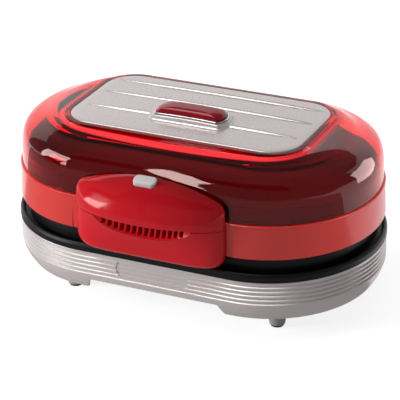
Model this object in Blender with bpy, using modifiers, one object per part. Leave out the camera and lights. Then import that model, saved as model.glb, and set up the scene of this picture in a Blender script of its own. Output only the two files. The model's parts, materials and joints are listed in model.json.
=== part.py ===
"""Double hamburger maker: ribbed base, hinged lid with a boat-shaped handle, translucent bun cover.

All lengths are in metres. X runs along the body, Y towards the rear hinge, Z up.
The plan outline is a stadium whose round ends are slightly blunted.
"""

import math

import bmesh
import bpy
from mathutils import Vector

# General clearances and curve fineness
gap = 0.0003
overrun = 0.002
end_steps = 12
round_steps = 12
small_steps = 10
screw_steps = 8
cup_steps = 24
bend_steps = 5

# Plan outline shared by base, lid and cover
straight_half = 0.0639
end_blunt_share = 0.933
body_half_width = 0.0923
draft = 0.0010

# Levels from the floor up
ground_clearance = 0.0195
shell_height = 0.0343
collar_rise = 0.0066
housing_rise = 0.0179
lid_gap = 0.0005
band_height = 0.0272
cover_seam = 0.0006

shell_top = ground_clearance + shell_height
collar_foot = shell_top + gap
collar_top = collar_foot + collar_rise
housing_top = collar_foot + housing_rise
band_bottom = housing_top + lid_gap
band_top = band_bottom + band_height
cover_bottom = band_top + cover_seam

# Base shell
shell_half_width = body_half_width + 0.0023
shell_wall = 0.0025
groove_count = 5
groove_first_drop = 0.0035
rib_pitch = 0.0036
rib_groove_depth = 0.0011
rib_groove_half = 0.0010
skirt_tuck = 0.0073
skirt_fall_shares = ((0.0, 0.0), (0.35, 0.2), (0.68, 0.5), (1.0, 1.0))
flange_thickness = 0.0025
flange_inner_half_width = body_half_width - 0.0158
ledge_rise = 0.0125
ledge_thickness = 0.0020
ledge_width = 0.0055
skirt_cut_half_top = 0.0550
skirt_cut_half_bottom = 0.0600
skirt_cut_rise = 0.0098
label_half_width = 0.0285
label_bulge = 0.0025
label_low_rise = 0.0185
label_high_rise = 0.0318
label_depth = 0.0012

# Collar and lower housing
collar_proud = 0.0004
collar_shares = (
    (0.00, 0.00), (0.00, 0.45), (0.05, 0.75), (0.15, 0.95), (0.27, 1.00),
    (0.38, 0.92), (0.45, 0.70), (0.50, 0.36), (1.00, 0.36), (1.00, 0.00),
)
housing_half_width = body_half_width - 0.0060
housing_lip = 0.0030
housing_wall = 0.0063

# Cooking plates
plate_thickness = 0.0025
cavity_spacing = 0.1300
cavity_radius = 0.0575
cavity_draft = 0.0030
lower_cavity_depth = 0.0120
upper_cavity_depth = 0.0070
cup_wall = 0.0025
plate_rim_lap = 0.0035

# Tubular heaters
heater_radius = 0.0030
heater_half_length = 0.1020
heater_half_width = 0.0360
heater_bend = 0.0300
heater_tail_spacing = 0.0240
heater_tail = 0.0120

# Heat shield, bottom cover and what sits between them
shield_lap = 0.0022
shield_rim = 0.0020
shield_thickness = 0.0010
shield_rim_height = 0.0018
bottom_thickness = 0.0022
bottom_lap = 0.0017
thermostat_radius = 0.0085
thermostat_height = 0.0060
thermostat_cap_share = 0.6
block_size = (0.0340, 0.0140, 0.0120)
block_y = 0.0560
block_well_radius = 0.0032
block_well_depth = 0.0060

# Feet, pads and base screws
foot_x = 0.0887
foot_y = 0.0539
foot_radius = 0.0100
foot_tip_radius = 0.0062
foot_shares = ((1.0, 1.0), (0.80, 0.94), (0.40, 0.70), (0.12, 0.14), (0.0, 0.0))
pad_radius = 0.0054
pad_height = 0.0015
screw_x = 0.0600
screw_inset = 0.0106
boss_radius = 0.0045
screw_radius = 0.0013
screw_head_radius = 0.0030
screw_head_height = 0.0018
screw_length = 0.0120
screw_crown_share = 0.75

# Mains cord gland
gland_rise = 0.0230
gland_flange_radius = 0.0075
gland_flange = 0.0024
gland_neck_radius = 0.0052
gland_neck = 0.0050
gland_sleeve_radius = 0.0060
gland_tip_radius = 0.0050
gland_sleeve = 0.0064
gland_bore_radius = 0.0036

# Lid hinge
hinge_x = 0.0500
hinge_out = 0.0077
hinge_ear_radius = 0.0060
hinge_eye_radius = 0.0050
hinge_arm_width = 0.0100
hinge_ear_width = 0.0060
hinge_pin_radius = 0.0020
hinge_pin_play = 0.0003
hinge_head_radius = 0.0034
hinge_head = 0.0012
hinge_arm_height = 0.0175
hinge_arm_thickness = 0.0030
hinge_foot_relief = 0.0040
hinge_axis_y = body_half_width + hinge_out
hinge_axis_z = band_bottom

# Cover hinge
cover_hinge_x = 0.0260
cover_hinge_out = 0.0052
cover_hinge_rise = 0.0013
cover_ear_radius = 0.0045
cover_eye_radius = 0.0040
cover_arm_width = 0.0080
cover_ear_width = 0.0035
cover_pin_radius = 0.0015
cover_head_radius = 0.0024
cover_head = 0.0008
cover_ear_drop = 0.0127
cover_arm_rise = 0.0060
cover_axis_y = body_half_width + cover_hinge_out
cover_axis_z = band_top + cover_hinge_rise

# Lid band
band_wall = 0.0025
band_lip = 0.0004
band_lip_height = 0.0014
band_flange_width = 0.0067
band_flange_thickness = 0.0020
band_top_flange_width = 0.0071
band_top_thickness = 0.0030
pad_half_width = 0.0680
pad_depth = 0.0008
pad_corner = 0.0060
pad_top_margin = 0.0034

# Bun tray
tray_clearance = 0.0005
tray_floor_drop = 0.0097
tray_wall = 0.0018
tray_flange = 0.0015
tray_rim_rise = 0.0128
tray_rim_inset = 0.0055
tray_corner = 0.0020

# Handle body
handle_half = 0.0625
handle_rear = body_half_width + draft + gap
handle_foot_depth = 0.0110
handle_top_depth = 0.0235
handle_square_share = 6
handle_flare_share = 2
hull_levels = 4
handle_drop = 0.0110
handle_corner = 0.0120
handle_edge = 0.0060
handle_top = band_top - 0.0024
handle_floor = 0.0030
handle_back_wall = 0.0020
handle_cavity_half = 0.0400
handle_cavity_depth = 0.0034
scoop_half = 0.0450
scoop_depth = 0.0088
scoop_inset = 0.0040
scoop_height = 0.0170
scoop_lift = 0.0007
slot_count = 14
slot_pitch = 0.00505
slot_width = 0.0034
slot_margin = 0.0032
handle_screw_x = 0.0470
handle_screw_drop = 0.0170
handle_screw_length = 0.0110

# Handle cap
cap_depth = 0.0259
cap_height = 0.0304
cap_sag_share = 0.45
cap_plan_share = 2.2
cap_bow_share = 1.6
cap_end_share = 40
cap_stop_share = 0.985
cap_round_share = 1.15
cap_tuck_share = 0.965
cap_stations = 16
cap_round_steps = 7
cap_start_share = 0.06
cap_wall = 0.0021
cap_end_wall = 0.0060
cap_opening_half = 0.0380
cap_opening_depth = 0.0024

# Release button and its spring
button_width = 0.0190
button_depth = 0.0090
button_corner = 0.0032
button_inset = cap_wall + 2 * gap + button_depth / 2
button_proud = 0.0018
button_height = 0.0110
button_slope = 0.39
button_edge = 0.0012
button_lip = 0.0020
button_lip_depth = 0.0060
button_lip_height = 0.0015
button_stem_radius = 0.0018
button_stem = 0.0100
spring_radius = 0.0031
spring_wire = 0.00045
spring_turns = 5
spring_points = 8

# Cover
cover_wall = 0.0022
cover_inset = 0.0013
dome_reach = 0.0215
dome_rise = 0.0377
dome_shares = (
    (0.000, 0.000), (0.010, 0.363), (0.033, 0.523), (0.093, 0.682),
    (0.246, 0.814), (0.549, 0.920), (1.000, 1.000),
)
plateau_rim = 0.0054
plateau_draft = 0.0010
plateau_edge = 0.0010
plateau_foot_front = 0.0395
plateau_foot_end = 0.0420
plateau_rise = 0.0440
panel_recess = 0.0015
corner_steps = end_steps // 2

# Top panel
panel_half_length = 0.0976
panel_half_width = 0.0530
panel_corner = 0.0250
panel_edge = 0.0016
panel_crown = 0.0013
panel_play = 0.0006
panel_side_share = 0.75
panel_ring_shares = (0.985, 0.66, 0.33)
ridge_y = (0.0387, 0.0117, -0.0188)
ridge_half_length = 0.0915
ridge_half_width = 0.0022
ridge_height = 0.0012
ridge_stations = 8
ridge_steps = 4
ridge_fade_share = 6
ridge_end_share = 0.04
panel_screw_x = 0.0700
panel_screw_y = 0.0300
panel_boss_radius = 0.0030
panel_screw_radius = 0.0011
panel_screw_head_radius = 0.0034
panel_screw_head = 0.0012
panel_screw_length = 0.0024

# Badge on the panel, left bare
badge_y = -0.0160
badge_half_length = 0.0300
badge_half_width = 0.0130
badge_rise = 0.0036
badge_end_share = 0.75
badge_bow = 0.0024
badge_stations = 8
badge_end_steps = 4
badge_edge = 0.0009
bezel_half_length = 0.0283
bezel_half_width = 0.0113
bezel_width = 0.0014
bezel_height = 0.0012
lens_crown = 0.0052
lens_ring_shares = ((0.86, 0.44), (0.55, 0.84))

# Catch tab behind the handle
catch_width = 0.0160
catch_height = 0.0090
catch_thickness = 0.0018

# The whole model is centred front to back over the origin
front_reach = handle_rear + cap_depth
rear_reach = hinge_axis_y + hinge_ear_radius
centre_shift = (front_reach - rear_reach) / 2


def clear_scene():
    """Removes what an empty Blender file starts with."""
    for item in list(bpy.data.objects):
        bpy.data.objects.remove(item)


def new_collection(name):
    """Adds a collection to the scene."""
    made = bpy.data.collections.new(name)
    bpy.context.scene.collection.children.link(made)
    return made


def finish(name, colour, roughness, metallic=0.0, alpha=1.0):
    """Makes one plain surface finish."""
    made = bpy.data.materials.new(name)
    made.use_nodes = True
    shader = made.node_tree.nodes["Principled BSDF"]
    shader.inputs["Base Color"].default_value = (*colour, 1.0)
    shader.inputs["Roughness"].default_value = roughness
    shader.inputs["Metallic"].default_value = metallic
    shader.inputs["Alpha"].default_value = alpha
    made.diffuse_color = (*colour, alpha)
    return made


clear_scene()
parts = new_collection("double_hamburger_maker")
cutters = new_collection("cutters")
cutters.hide_render = True

finishes = {
    "silver": finish("silver_abs", (0.56, 0.53, 0.53), 0.38, 0.6),
    "grey": finish("grey_abs", (0.45, 0.43, 0.43), 0.45, 0.2),
    "black": finish("black_phenolic", (0.02, 0.02, 0.022), 0.4),
    "nonstick": finish("nonstick_aluminium", (0.035, 0.035, 0.038), 0.45, 0.3),
    "steel": finish("zinc_steel", (0.55, 0.55, 0.56), 0.35, 1.0),
    "heater": finish("heater_sheath", (0.30, 0.27, 0.24), 0.5, 1.0),
    "ceramic": finish("ceramic", (0.75, 0.72, 0.66), 0.6),
    "rubber": finish("rubber", (0.03, 0.03, 0.03), 0.8),
    "red": finish("red_abs", (0.52, 0.013, 0.02), 0.18),
    "band_red": finish("band_red_abs", (0.60, 0.05, 0.05), 0.25),
    "clear_red": finish("clear_red_acrylic", (0.60, 0.01, 0.015), 0.06, 0.0, 0.55),
    "lens_red": finish("lens_red_acrylic", (0.30, 0.005, 0.01), 0.08),
    "chrome": finish("chrome", (0.60, 0.60, 0.62), 0.1, 1.0),
}

# Each frame is an empty on its joint's axis: base, lid, cover and button
button_y = -(handle_rear + button_inset)
frame_places = {
    "base": Vector((0, 0, 0)),
    "lid": Vector((0, hinge_axis_y, hinge_axis_z)),
    "cover": Vector((0, cover_axis_y, cover_axis_z)),
    "button": Vector((0, button_y, band_top)),
}
frame_parents = {"lid": "base", "cover": "lid", "button": "lid"}
frames = {}
for frame_name, frame_place in frame_places.items():
    empty = bpy.data.objects.new(frame_name + "_frame", None)
    empty.empty_display_size = foot_radius
    parts.objects.link(empty)
    if frame_name in frame_parents:
        carrier = frame_parents[frame_name]
        empty.parent = frames[carrier]
        empty.location = frame_place - frame_places[carrier]
    else:
        empty.location = (0, centre_shift, 0)
    frames[frame_name] = empty


def place(shape, frame, at=(0, 0, 0)):
    """Hangs a shape on a frame, with its origin at the given place of the closed appliance."""
    shape.parent = frames[frame]
    shape.location = Vector(at) - frame_places[frame]
    return shape


def shape_from(form, name, material, smooth_angle=30):
    """Turns a finished bmesh into a named object."""
    bmesh.ops.recalc_face_normals(form, faces=form.faces)
    mesh = bpy.data.meshes.new(name)
    form.to_mesh(mesh)
    form.free()
    mesh.materials.append(finishes[material])
    mesh.shade_smooth()
    mesh.set_sharp_from_angle(angle=math.radians(smooth_angle))
    made = bpy.data.objects.new(name, mesh)
    parts.objects.link(made)
    return made


def as_cutter(shape):
    """Moves a shape to the cutters, drawn as wire and never rendered."""
    parts.objects.unlink(shape)
    cutters.objects.link(shape)
    shape.hide_render = True
    shape.display_type = "WIRE"
    return shape


def combine(target, tool, operation):
    """Cuts the tool out of the target, or joins it on, with an exact Boolean."""
    modifier = target.modifiers.new(operation.lower() + "_" + tool.name, "BOOLEAN")
    modifier.operation = operation
    modifier.solver = "EXACT"
    modifier.object = as_cutter(tool)
    return target


def cut(target, tool):
    """Removes the tool's volume."""
    return combine(target, tool, "DIFFERENCE")


def join(target, tool):
    """Adds the tool's volume."""
    return combine(target, tool, "UNION")


def stadium(name, section, material, closed=True):
    """Sweeps a section round the stadium outline; a section point is (half width, height).

    The section is spun about each end centre and extruded along the straight runs. An open
    section starts and ends on the long axis, so that it closes into a solid.
    """
    form = bmesh.new()
    row = [form.verts.new((straight_half, -width, height)) for width, height in section]
    edges = [form.edges.new(pair) for pair in zip(row, row[1:])]
    if closed:
        edges.append(form.edges.new((row[-1], row[0])))
    for side in (1, -1):
        spun = bmesh.ops.spin(
            form, geom=edges, cent=(side * straight_half, 0, 0), axis=(0, 0, 1),
            angle=math.pi, steps=end_steps,
        )
        last = [item for item in spun["geom_last"] if isinstance(item, bmesh.types.BMEdge)]
        run = bmesh.ops.extrude_edge_only(form, edges=last)["geom"]
        corners = [item for item in run if isinstance(item, bmesh.types.BMVert)]
        edges = [item for item in run if isinstance(item, bmesh.types.BMEdge)]
        bmesh.ops.translate(form, verts=corners, vec=(-side * 2 * straight_half, 0, 0))
    bmesh.ops.remove_doubles(form, verts=form.verts, dist=gap / 10)
    for corner in form.verts:
        beyond = abs(corner.co.x) - straight_half
        if beyond > 0:
            corner.co.x = math.copysign(straight_half + beyond * end_blunt_share, corner.co.x)
    return shape_from(form, name, material)


def box(name, low, high, material="black"):
    """A block between two corners."""
    form = bmesh.new()
    low = Vector(low)
    high = Vector(high)
    bmesh.ops.create_cube(form, size=1)
    for corner in form.verts:
        corner.co = (low + high) / 2 + Vector(a * b for a, b in zip(corner.co, high - low))
    return shape_from(form, name, material)


def turned(name, profile, material, steps=round_steps, ring=False):
    """A solid of revolution about Z; the profile runs down its outer side, top to bottom."""
    form = bmesh.new()
    row = [form.verts.new((radius, 0, height)) for radius, height in profile]
    for pair in zip(row, row[1:]):
        form.edges.new(pair)
    if ring:
        form.edges.new((row[-1], row[0]))
    mesh = bpy.data.meshes.new(name)
    form.to_mesh(mesh)
    form.free()
    mesh.materials.append(finishes[material])
    made = bpy.data.objects.new(name, mesh)
    parts.objects.link(made)
    screw = made.modifiers.new("turn", "SCREW")
    screw.steps = steps
    screw.render_steps = steps
    screw.use_merge_vertices = True
    screw.merge_threshold = gap / 10
    screw.use_smooth_shade = True
    return made


def rod(name, radius, length, material="steel", steps=small_steps):
    """A plain cylinder standing on the origin."""
    form = bmesh.new()
    bmesh.ops.create_cone(
        form, cap_ends=True, segments=steps, radius1=radius, radius2=radius, depth=length)
    bmesh.ops.translate(form, verts=form.verts, vec=(0, 0, length / 2))
    return shape_from(form, name, material)


def outline(half_x, half_y, corner_x, corner_y):
    """A rounded rectangle with elliptical corners, as (x, y) points from the right-hand side on."""
    points = []
    for turn, (side_x, side_y) in enumerate(((1, 1), (-1, 1), (-1, -1), (1, -1))):
        for step in range(corner_steps + 1):
            angle = math.pi / 2 * (turn + step / corner_steps)
            points.append((
                side_x * (half_x - corner_x) + corner_x * math.cos(angle),
                side_y * (half_y - corner_y) + corner_y * math.sin(angle),
            ))
    return points


def stadium_outline(half_width):
    """The stadium as a rounded rectangle, with a hair of straight at each end's tip."""
    corner_y = half_width - gap
    corner_x = half_width * end_blunt_share
    return outline(straight_half + corner_x, half_width, corner_x, corner_y)


def level(points, height):
    """Lifts plan points to a height, or to a height that a function gives."""
    if callable(height):
        return [Vector((x, y, height(x, y))) for x, y in points]
    return [Vector((x, y, height)) for x, y in points]


def grown(half_x, half_y, corner, amount, height):
    """A rounded rectangle moved outwards by an amount, at a height."""
    points = outline(half_x + amount, half_y + amount, corner + amount, corner + amount)
    return level(points, height)


def loft(name, loops, material, tip=None, ring=False, smooth_angle=30):
    """Skins a run of like-numbered loops and closes its two ends; a tip closes the last one.

    A ring joins its last loop to its first and has no ends.
    """
    form = bmesh.new()
    rows = [[form.verts.new(point) for point in loop] for loop in loops]
    count = len(rows[0])
    if ring:
        rows.append(rows[0])
    for low, high in zip(rows, rows[1:]):
        for here in range(count):
            there = (here + 1) % count
            form.faces.new((low[here], low[there], high[there], high[here]))
    if ring:
        return shape_from(form, name, material, smooth_angle)
    form.faces.new(reversed(rows[0]))
    if tip is None:
        form.faces.new(rows[-1])
    else:
        top = form.verts.new(tip)
        for here in range(count):
            form.faces.new((rows[-1][here], rows[-1][(here + 1) % count], top))
    return shape_from(form, name, material, smooth_angle)


def plate(name, points, centre_x, width, material="black"):
    """A flat outline in the YZ plane, extruded along X."""
    form = bmesh.new()
    start = centre_x - width / 2
    face = form.faces.new([form.verts.new((start, y, z)) for y, z in points])
    grown = bmesh.ops.extrude_face_region(form, geom=[face])["geom"]
    far = [item for item in grown if isinstance(item, bmesh.types.BMVert)]
    bmesh.ops.translate(form, verts=far, vec=(width, 0, 0))
    return shape_from(form, name, material)


def arc(centre_y, centre_z, radius, start, end, steps=small_steps):
    """Points of a circular arc in the YZ plane, angles in degrees."""
    points = []
    for step in range(steps + 1):
        angle = math.radians(start + (end - start) * step / steps)
        points.append((centre_y + radius * math.cos(angle), centre_z + radius * math.sin(angle)))
    return points


def lying(shape, along):
    """Turns an upright piece to lie along X or Y."""
    if along == "x":
        shape.rotation_euler = (0, math.pi / 2, 0)
    else:
        shape.rotation_euler = (math.pi / 2, 0, 0)
    return shape


def base_shell():
    """Silver ribbed wall with its top flange, inner ledge, screw bosses, front cut-out and label recess."""
    outer = [(shell_half_width, shell_top)]
    for index in range(groove_count):
        groove = shell_top - groove_first_drop - rib_pitch * index
        outer.append((shell_half_width, groove + rib_groove_half))
        outer.append((shell_half_width - rib_groove_depth, groove))
        outer.append((shell_half_width, groove - rib_groove_half))
    fall_top = groove - rib_pitch / 2
    fall = fall_top - ground_clearance
    taper = [
        (shell_half_width - skirt_tuck * tuck, fall_top - fall * drop)
        for drop, tuck in skirt_fall_shares
    ]
    ledge_z = ground_clearance + ledge_rise
    inner_half = shell_half_width - shell_wall
    inner = [(width - shell_wall, height) for width, height in reversed(taper) if height < ledge_z]
    ledge_inner = inner_half - ledge_width
    inner += [
        (inner[-1][0], ledge_z), (ledge_inner, ledge_z), (ledge_inner, ledge_z + ledge_thickness),
        (inner_half - rib_groove_depth, ledge_z + ledge_thickness + rib_groove_half),
        (inner_half - rib_groove_depth, shell_top - flange_thickness),
        (flange_inner_half_width, shell_top - flange_thickness),
        (flange_inner_half_width, shell_top),
    ]
    shell = place(stadium("base_shell", outer + taper + inner, "silver"), "base")
    boss_height = shell_height - ledge_rise - (ledge_thickness + flange_thickness) / 2
    for side_x in (1, -1):
        for side_y in (1, -1):
            spot = Vector((side_x * screw_x, side_y * (shell_half_width - screw_inset), ledge_z))
            boss = rod("screw_boss", boss_radius, boss_height)
            join(shell, place(boss, "base", spot + Vector((0, 0, ledge_thickness / 2))))
            hole = rod("screw_hole", screw_radius + gap, screw_length + overrun)
            cut(shell, place(hole, "base", spot - Vector((0, 0, overrun))))
    cut_low = ground_clearance - overrun
    slant = (skirt_cut_half_bottom - skirt_cut_half_top) / skirt_cut_rise * overrun
    front = -(shell_half_width + overrun)
    back = -(shell_half_width - skirt_tuck - shell_wall - overrun)
    trapezoid = [
        (-skirt_cut_half_bottom - slant, cut_low), (skirt_cut_half_bottom + slant, cut_low),
        (skirt_cut_half_top, ground_clearance + skirt_cut_rise),
        (-skirt_cut_half_top, ground_clearance + skirt_cut_rise),
    ]
    loops = [[Vector((x, y, z)) for x, z in trapezoid] for y in (front, back)]
    cut(shell, place(loft("skirt_cut", loops, "silver"), "base"))
    recess = []
    low = ground_clearance + label_low_rise
    high = ground_clearance + label_high_rise
    for side in (1, -1):
        for step in range(small_steps + 1):
            share = step / small_steps
            bulge = label_bulge * math.sin(math.pi * share)
            height = low + (high - low) * (share if side > 0 else 1 - share)
            recess.append((side * (label_half_width + bulge), height))
    label_back = -(shell_half_width - label_depth)
    loops = [[Vector((x, y, z)) for x, z in recess] for y in (front, label_back)]
    cut(shell, place(loft("label_recess", loops, "silver"), "base"))
    gland = rod("gland_hole", gland_neck_radius + gap, shell_wall * 2 + overrun * 2)
    wall_out = shell_half_width + overrun
    cut(shell, place(lying(gland, "y"), "base", (0, wall_out, ground_clearance + gland_rise)))


def base_collar():
    """Black ring on the shell, with a rounded outer rim and a moat inside it."""
    outer = shell_half_width + collar_proud
    width = outer - housing_half_width - gap
    section = [(outer - width * inward, collar_foot + collar_rise * up) for inward, up in collar_shares]
    place(stadium("base_collar", section, "black"), "base")


def lower_housing():
    """Black wall that carries the lower plate on an inner seat."""
    seat = housing_half_width - housing_lip
    seat_z = housing_top - plate_thickness - gap
    inner = housing_half_width - housing_wall
    section = [
        (housing_half_width, collar_foot), (housing_half_width, housing_top), (seat, housing_top),
        (seat, seat_z), (inner, seat_z), (inner, collar_foot),
    ]
    place(stadium("lower_housing", section, "black"), "base")


def cups(target, frame, face_z, depth, slab):
    """Adds two round cups to a plate and hollows them; depth is signed, away from the cooking gap."""
    away = math.copysign(1, depth)
    wall = cup_wall * away
    for side in (1, -1):
        centre = (side * cavity_spacing / 2, 0, 0)
        outside = turned("cup_outside", cone_profile(
            cavity_radius + cup_wall, cavity_radius + cup_wall - cavity_draft,
            face_z + slab / 2 * away, face_z + depth + wall), "nonstick", cup_steps)
        join(target, place(outside, frame, centre))
        inside = turned("cup_inside", cone_profile(
            cavity_radius + cavity_draft * overrun / abs(depth), cavity_radius - cavity_draft,
            face_z - overrun * away, face_z + depth), "nonstick", cup_steps)
        cut(target, place(inside, frame, centre))


def cone_profile(near_radius, far_radius, near_z, far_z):
    """Profile of a truncated cone, always listed from its top down."""
    if near_z > far_z:
        return ((0, near_z), (near_radius, near_z), (far_radius, far_z), (0, far_z))
    return ((0, far_z), (far_radius, far_z), (near_radius, near_z), (0, near_z))


def lower_plate():
    """Cast plate with two burger cavities, seated in the housing."""
    width = housing_half_width - housing_lip - gap
    low = housing_top - plate_thickness
    section = [(0, housing_top), (width, housing_top), (width, low), (0, low)]
    made = place(stadium("lower_plate", section, "nonstick", False), "base")
    cups(made, "base", housing_top, -lower_cavity_depth, plate_thickness)


def upper_plate():
    """Cast plate with two shallow cavities, held above the lid's bottom flange."""
    face = band_bottom + gap
    step = band_bottom + band_flange_thickness + gap
    inner = body_half_width + draft - band_flange_width - gap
    width = inner + plate_rim_lap
    top = step + plate_thickness
    section = [(0, top), (width, top), (width, step), (inner, step), (inner, face), (0, face)]
    made = place(stadium("upper_plate", section, "nonstick", False), "lid")
    cups(made, "lid", face, upper_cavity_depth, top - face)


def heater(name, frame, centre_z):
    """Tubular element: a rounded loop that is open at the rear, with two tails."""
    points = outline(heater_half_length, heater_half_width, heater_bend, heater_bend)
    rear = corner_steps + 1
    run = points[rear:] + points[:rear]
    tail_x = heater_tail_spacing / 2
    route = [(-tail_x, heater_half_width + heater_tail), (-tail_x, heater_half_width)]
    route += run + [(tail_x, heater_half_width), (tail_x, heater_half_width + heater_tail)]
    curve = bpy.data.curves.new(name, "CURVE")
    curve.dimensions = "3D"
    curve.bevel_depth = heater_radius
    curve.bevel_resolution = 1
    curve.use_fill_caps = True
    spline = curve.splines.new("POLY")
    spline.points.add(len(route) - 1)
    for point, (x, y) in zip(spline.points, route):
        point.co = (x, y, centre_z, 1)
    curve.materials.append(finishes["heater"])
    made = bpy.data.objects.new(name, curve)
    parts.objects.link(made)
    place(made, frame)


def heaters():
    """One element under the lower cups and one over the upper cups."""
    lower_cup = housing_top - lower_cavity_depth - cup_wall
    upper_cup = band_bottom + gap + upper_cavity_depth + cup_wall
    heater("lower_heater", "base", lower_cup - gap - heater_radius)
    heater("upper_heater", "lid", upper_cup + gap + heater_radius)


def heat_shield():
    """Sheet tray hung under the shell's flange."""
    width = flange_inner_half_width + shield_lap
    top = shell_top - flange_thickness - gap
    floor = top - shield_rim_height
    deck = floor + shield_thickness
    section = [
        (0, deck), (width - shield_rim, deck), (width - shield_rim, top), (width, top),
        (width, floor), (0, floor),
    ]
    place(stadium("heat_shield", section, "steel", False), "base")


def bottom_cover():
    """Flat cover screwed up against the shell's ledge."""
    inner_half = shell_half_width - shell_wall
    width = inner_half - ledge_width + bottom_lap
    top = ground_clearance + ledge_rise - gap
    low = top - bottom_thickness
    section = [(0, top), (width, top), (width, low), (0, low)]
    made = place(stadium("bottom_cover", section, "grey", False), "base")
    for side_x in (1, -1):
        for side_y in (1, -1):
            spot = (side_x * screw_x, side_y * (shell_half_width - screw_inset), low - overrun)
            hole = rod("cover_hole", screw_radius + gap, bottom_thickness + 2 * overrun)
            cut(made, place(hole, "base", spot))


def feet_and_screws():
    """Four tapered feet on rubber pads, and the four screws of the bottom cover."""
    cover_low = ground_clearance + ledge_rise - gap - bottom_thickness
    low = pad_height + gap
    high = cover_low - gap
    swell = foot_radius - foot_tip_radius
    profile = [(0, high)]
    profile += [
        (foot_tip_radius + swell * wide, low + (high - low) * up) for up, wide in foot_shares
    ]
    profile.append((0, low))
    pad_profile = ((0, pad_height), (pad_radius, pad_height), (pad_radius, 0), (0, 0))
    sides = {"right": 1, "left": -1}
    rows = {"front": -1, "rear": 1}
    for row_name, row in rows.items():
        for side_name, side in sides.items():
            place_name = row_name + "_" + side_name
            spot = (side * foot_x, row * foot_y, 0)
            place(turned("foot_" + place_name, profile, "grey"), "base", spot)
            place(turned("foot_pad_" + place_name, pad_profile, "rubber"), "base", spot)
            screw_y = row * (shell_half_width - screw_inset)
            made = screw("base_screw_" + place_name, screw_radius, screw_length + bottom_thickness)
            place(made, "base", (side * screw_x, screw_y, cover_low - gap))


def screw(name, radius, length, head_radius=screw_head_radius, head=screw_head_height):
    """Pan-head screw pointing up, its head's upper face at the origin."""
    profile = (
        (0, length), (radius, length - radius), (radius, 0), (head_radius, 0),
        (head_radius * screw_crown_share, -head), (0, -head),
    )
    return turned(name, profile, "steel", screw_steps)


def electrics():
    """Thermostat under the heat shield, terminal block on the bottom cover, and the cord gland."""
    shield_low = shell_top - flange_thickness - gap - shield_rim_height
    cap = thermostat_radius * thermostat_cap_share
    step = thermostat_height * thermostat_cap_share
    profile = (
        (0, 0), (thermostat_radius, 0), (thermostat_radius, -step), (cap, -step),
        (cap, -thermostat_height), (0, -thermostat_height),
    )
    place(turned("thermostat", profile, "ceramic"), "base", (0, 0, shield_low - gap))
    wide, deep, tall = block_size
    seat = ground_clearance + ledge_rise
    block = box("terminal_block", (-wide / 2, -deep / 2, 0), (wide / 2, deep / 2, tall), "ceramic")
    place(block, "base", (0, block_y, seat))
    for index in (-1, 0, 1):
        well = rod("terminal_well", block_well_radius, block_well_depth + overrun)
        spot = (index * wide / 3, block_y, seat + tall - block_well_depth)
        cut(block, place(well, "base", spot))
    flange_z = gland_flange
    profile = (
        (gland_bore_radius, flange_z + gland_sleeve), (gland_tip_radius, flange_z + gland_sleeve),
        (gland_sleeve_radius, flange_z), (gland_flange_radius, flange_z), (gland_flange_radius, 0),
        (gland_neck_radius, 0), (gland_neck_radius, -gland_neck), (gland_bore_radius, -gland_neck),
    )
    gland = turned("cord_gland", profile, "rubber", ring=True)
    gland.rotation_euler = (-math.pi / 2, 0, 0)
    place(gland, "base", (0, shell_half_width + gap, ground_clearance + gland_rise))


def lid_hinges():
    """Clevis brackets on the base, arms on the lid band, and their headed pins."""
    foot_z = collar_top + gap
    foot_y = housing_half_width + gap
    shelf = band_bottom - hinge_head
    bracket = [(foot_y, foot_z), (hinge_axis_y + hinge_ear_radius / 2, foot_z)]
    bracket += [(hinge_axis_y + hinge_ear_radius, foot_z + hinge_foot_relief)]
    bracket += arc(hinge_axis_y, hinge_axis_z, hinge_ear_radius, 0, 180)
    bracket += [(hinge_axis_y - hinge_ear_radius, shelf), (foot_y, shelf)]
    arm_y = body_half_width + draft + gap
    arm_low = hinge_axis_z + hinge_head
    arm_high = hinge_axis_z + hinge_arm_height
    arm = arc(hinge_axis_y, hinge_axis_z, hinge_eye_radius, -180, 45)
    arm += [
        (arm_y + hinge_arm_thickness, arm_high - hinge_eye_radius),
        (arm_y + hinge_arm_thickness, arm_high), (arm_y, arm_high), (arm_y, arm_low),
    ]
    slot = hinge_arm_width + 2 * gap
    clevis = slot + 2 * hinge_ear_width
    hole_length = clevis + 2 * overrun
    slot_low = hinge_axis_z - hinge_eye_radius - gap * 2
    pin_profile = (
        (0, clevis + gap + hinge_head), (hinge_pin_radius, clevis + gap + hinge_head),
        (hinge_pin_radius, -gap), (hinge_head_radius, -gap),
        (hinge_head_radius, -gap - hinge_head), (0, -gap - hinge_head),
    )
    for side_name, side in {"right": 1, "left": -1}.items():
        centre = side * hinge_x
        holder = place(plate("hinge_bracket_" + side_name, bracket, centre, clevis, "black"), "base")
        notch = box(
            "hinge_slot", (centre - slot / 2, hinge_axis_y - hinge_ear_radius - overrun, slot_low),
            (centre + slot / 2, hinge_axis_y + hinge_ear_radius + overrun, band_top),
        )
        cut(holder, place(notch, "base"))
        bore = rod("bracket_bore", hinge_pin_radius + hinge_pin_play, hole_length)
        cut(holder, place(lying(bore, "x"), "base", (centre - hole_length / 2, hinge_axis_y, hinge_axis_z)))
        made = place(plate("hinge_arm_" + side_name, arm, centre, hinge_arm_width, "steel"), "lid")
        bore = rod("arm_bore", hinge_pin_radius + hinge_pin_play, hole_length)
        cut(made, place(lying(bore, "x"), "lid", (centre - hole_length / 2, hinge_axis_y, hinge_axis_z)))
        pin = turned("hinge_pin_" + side_name, pin_profile, "steel", small_steps)
        place(lying(pin, "x"), "base", (centre - clevis / 2, hinge_axis_y, hinge_axis_z))


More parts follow.
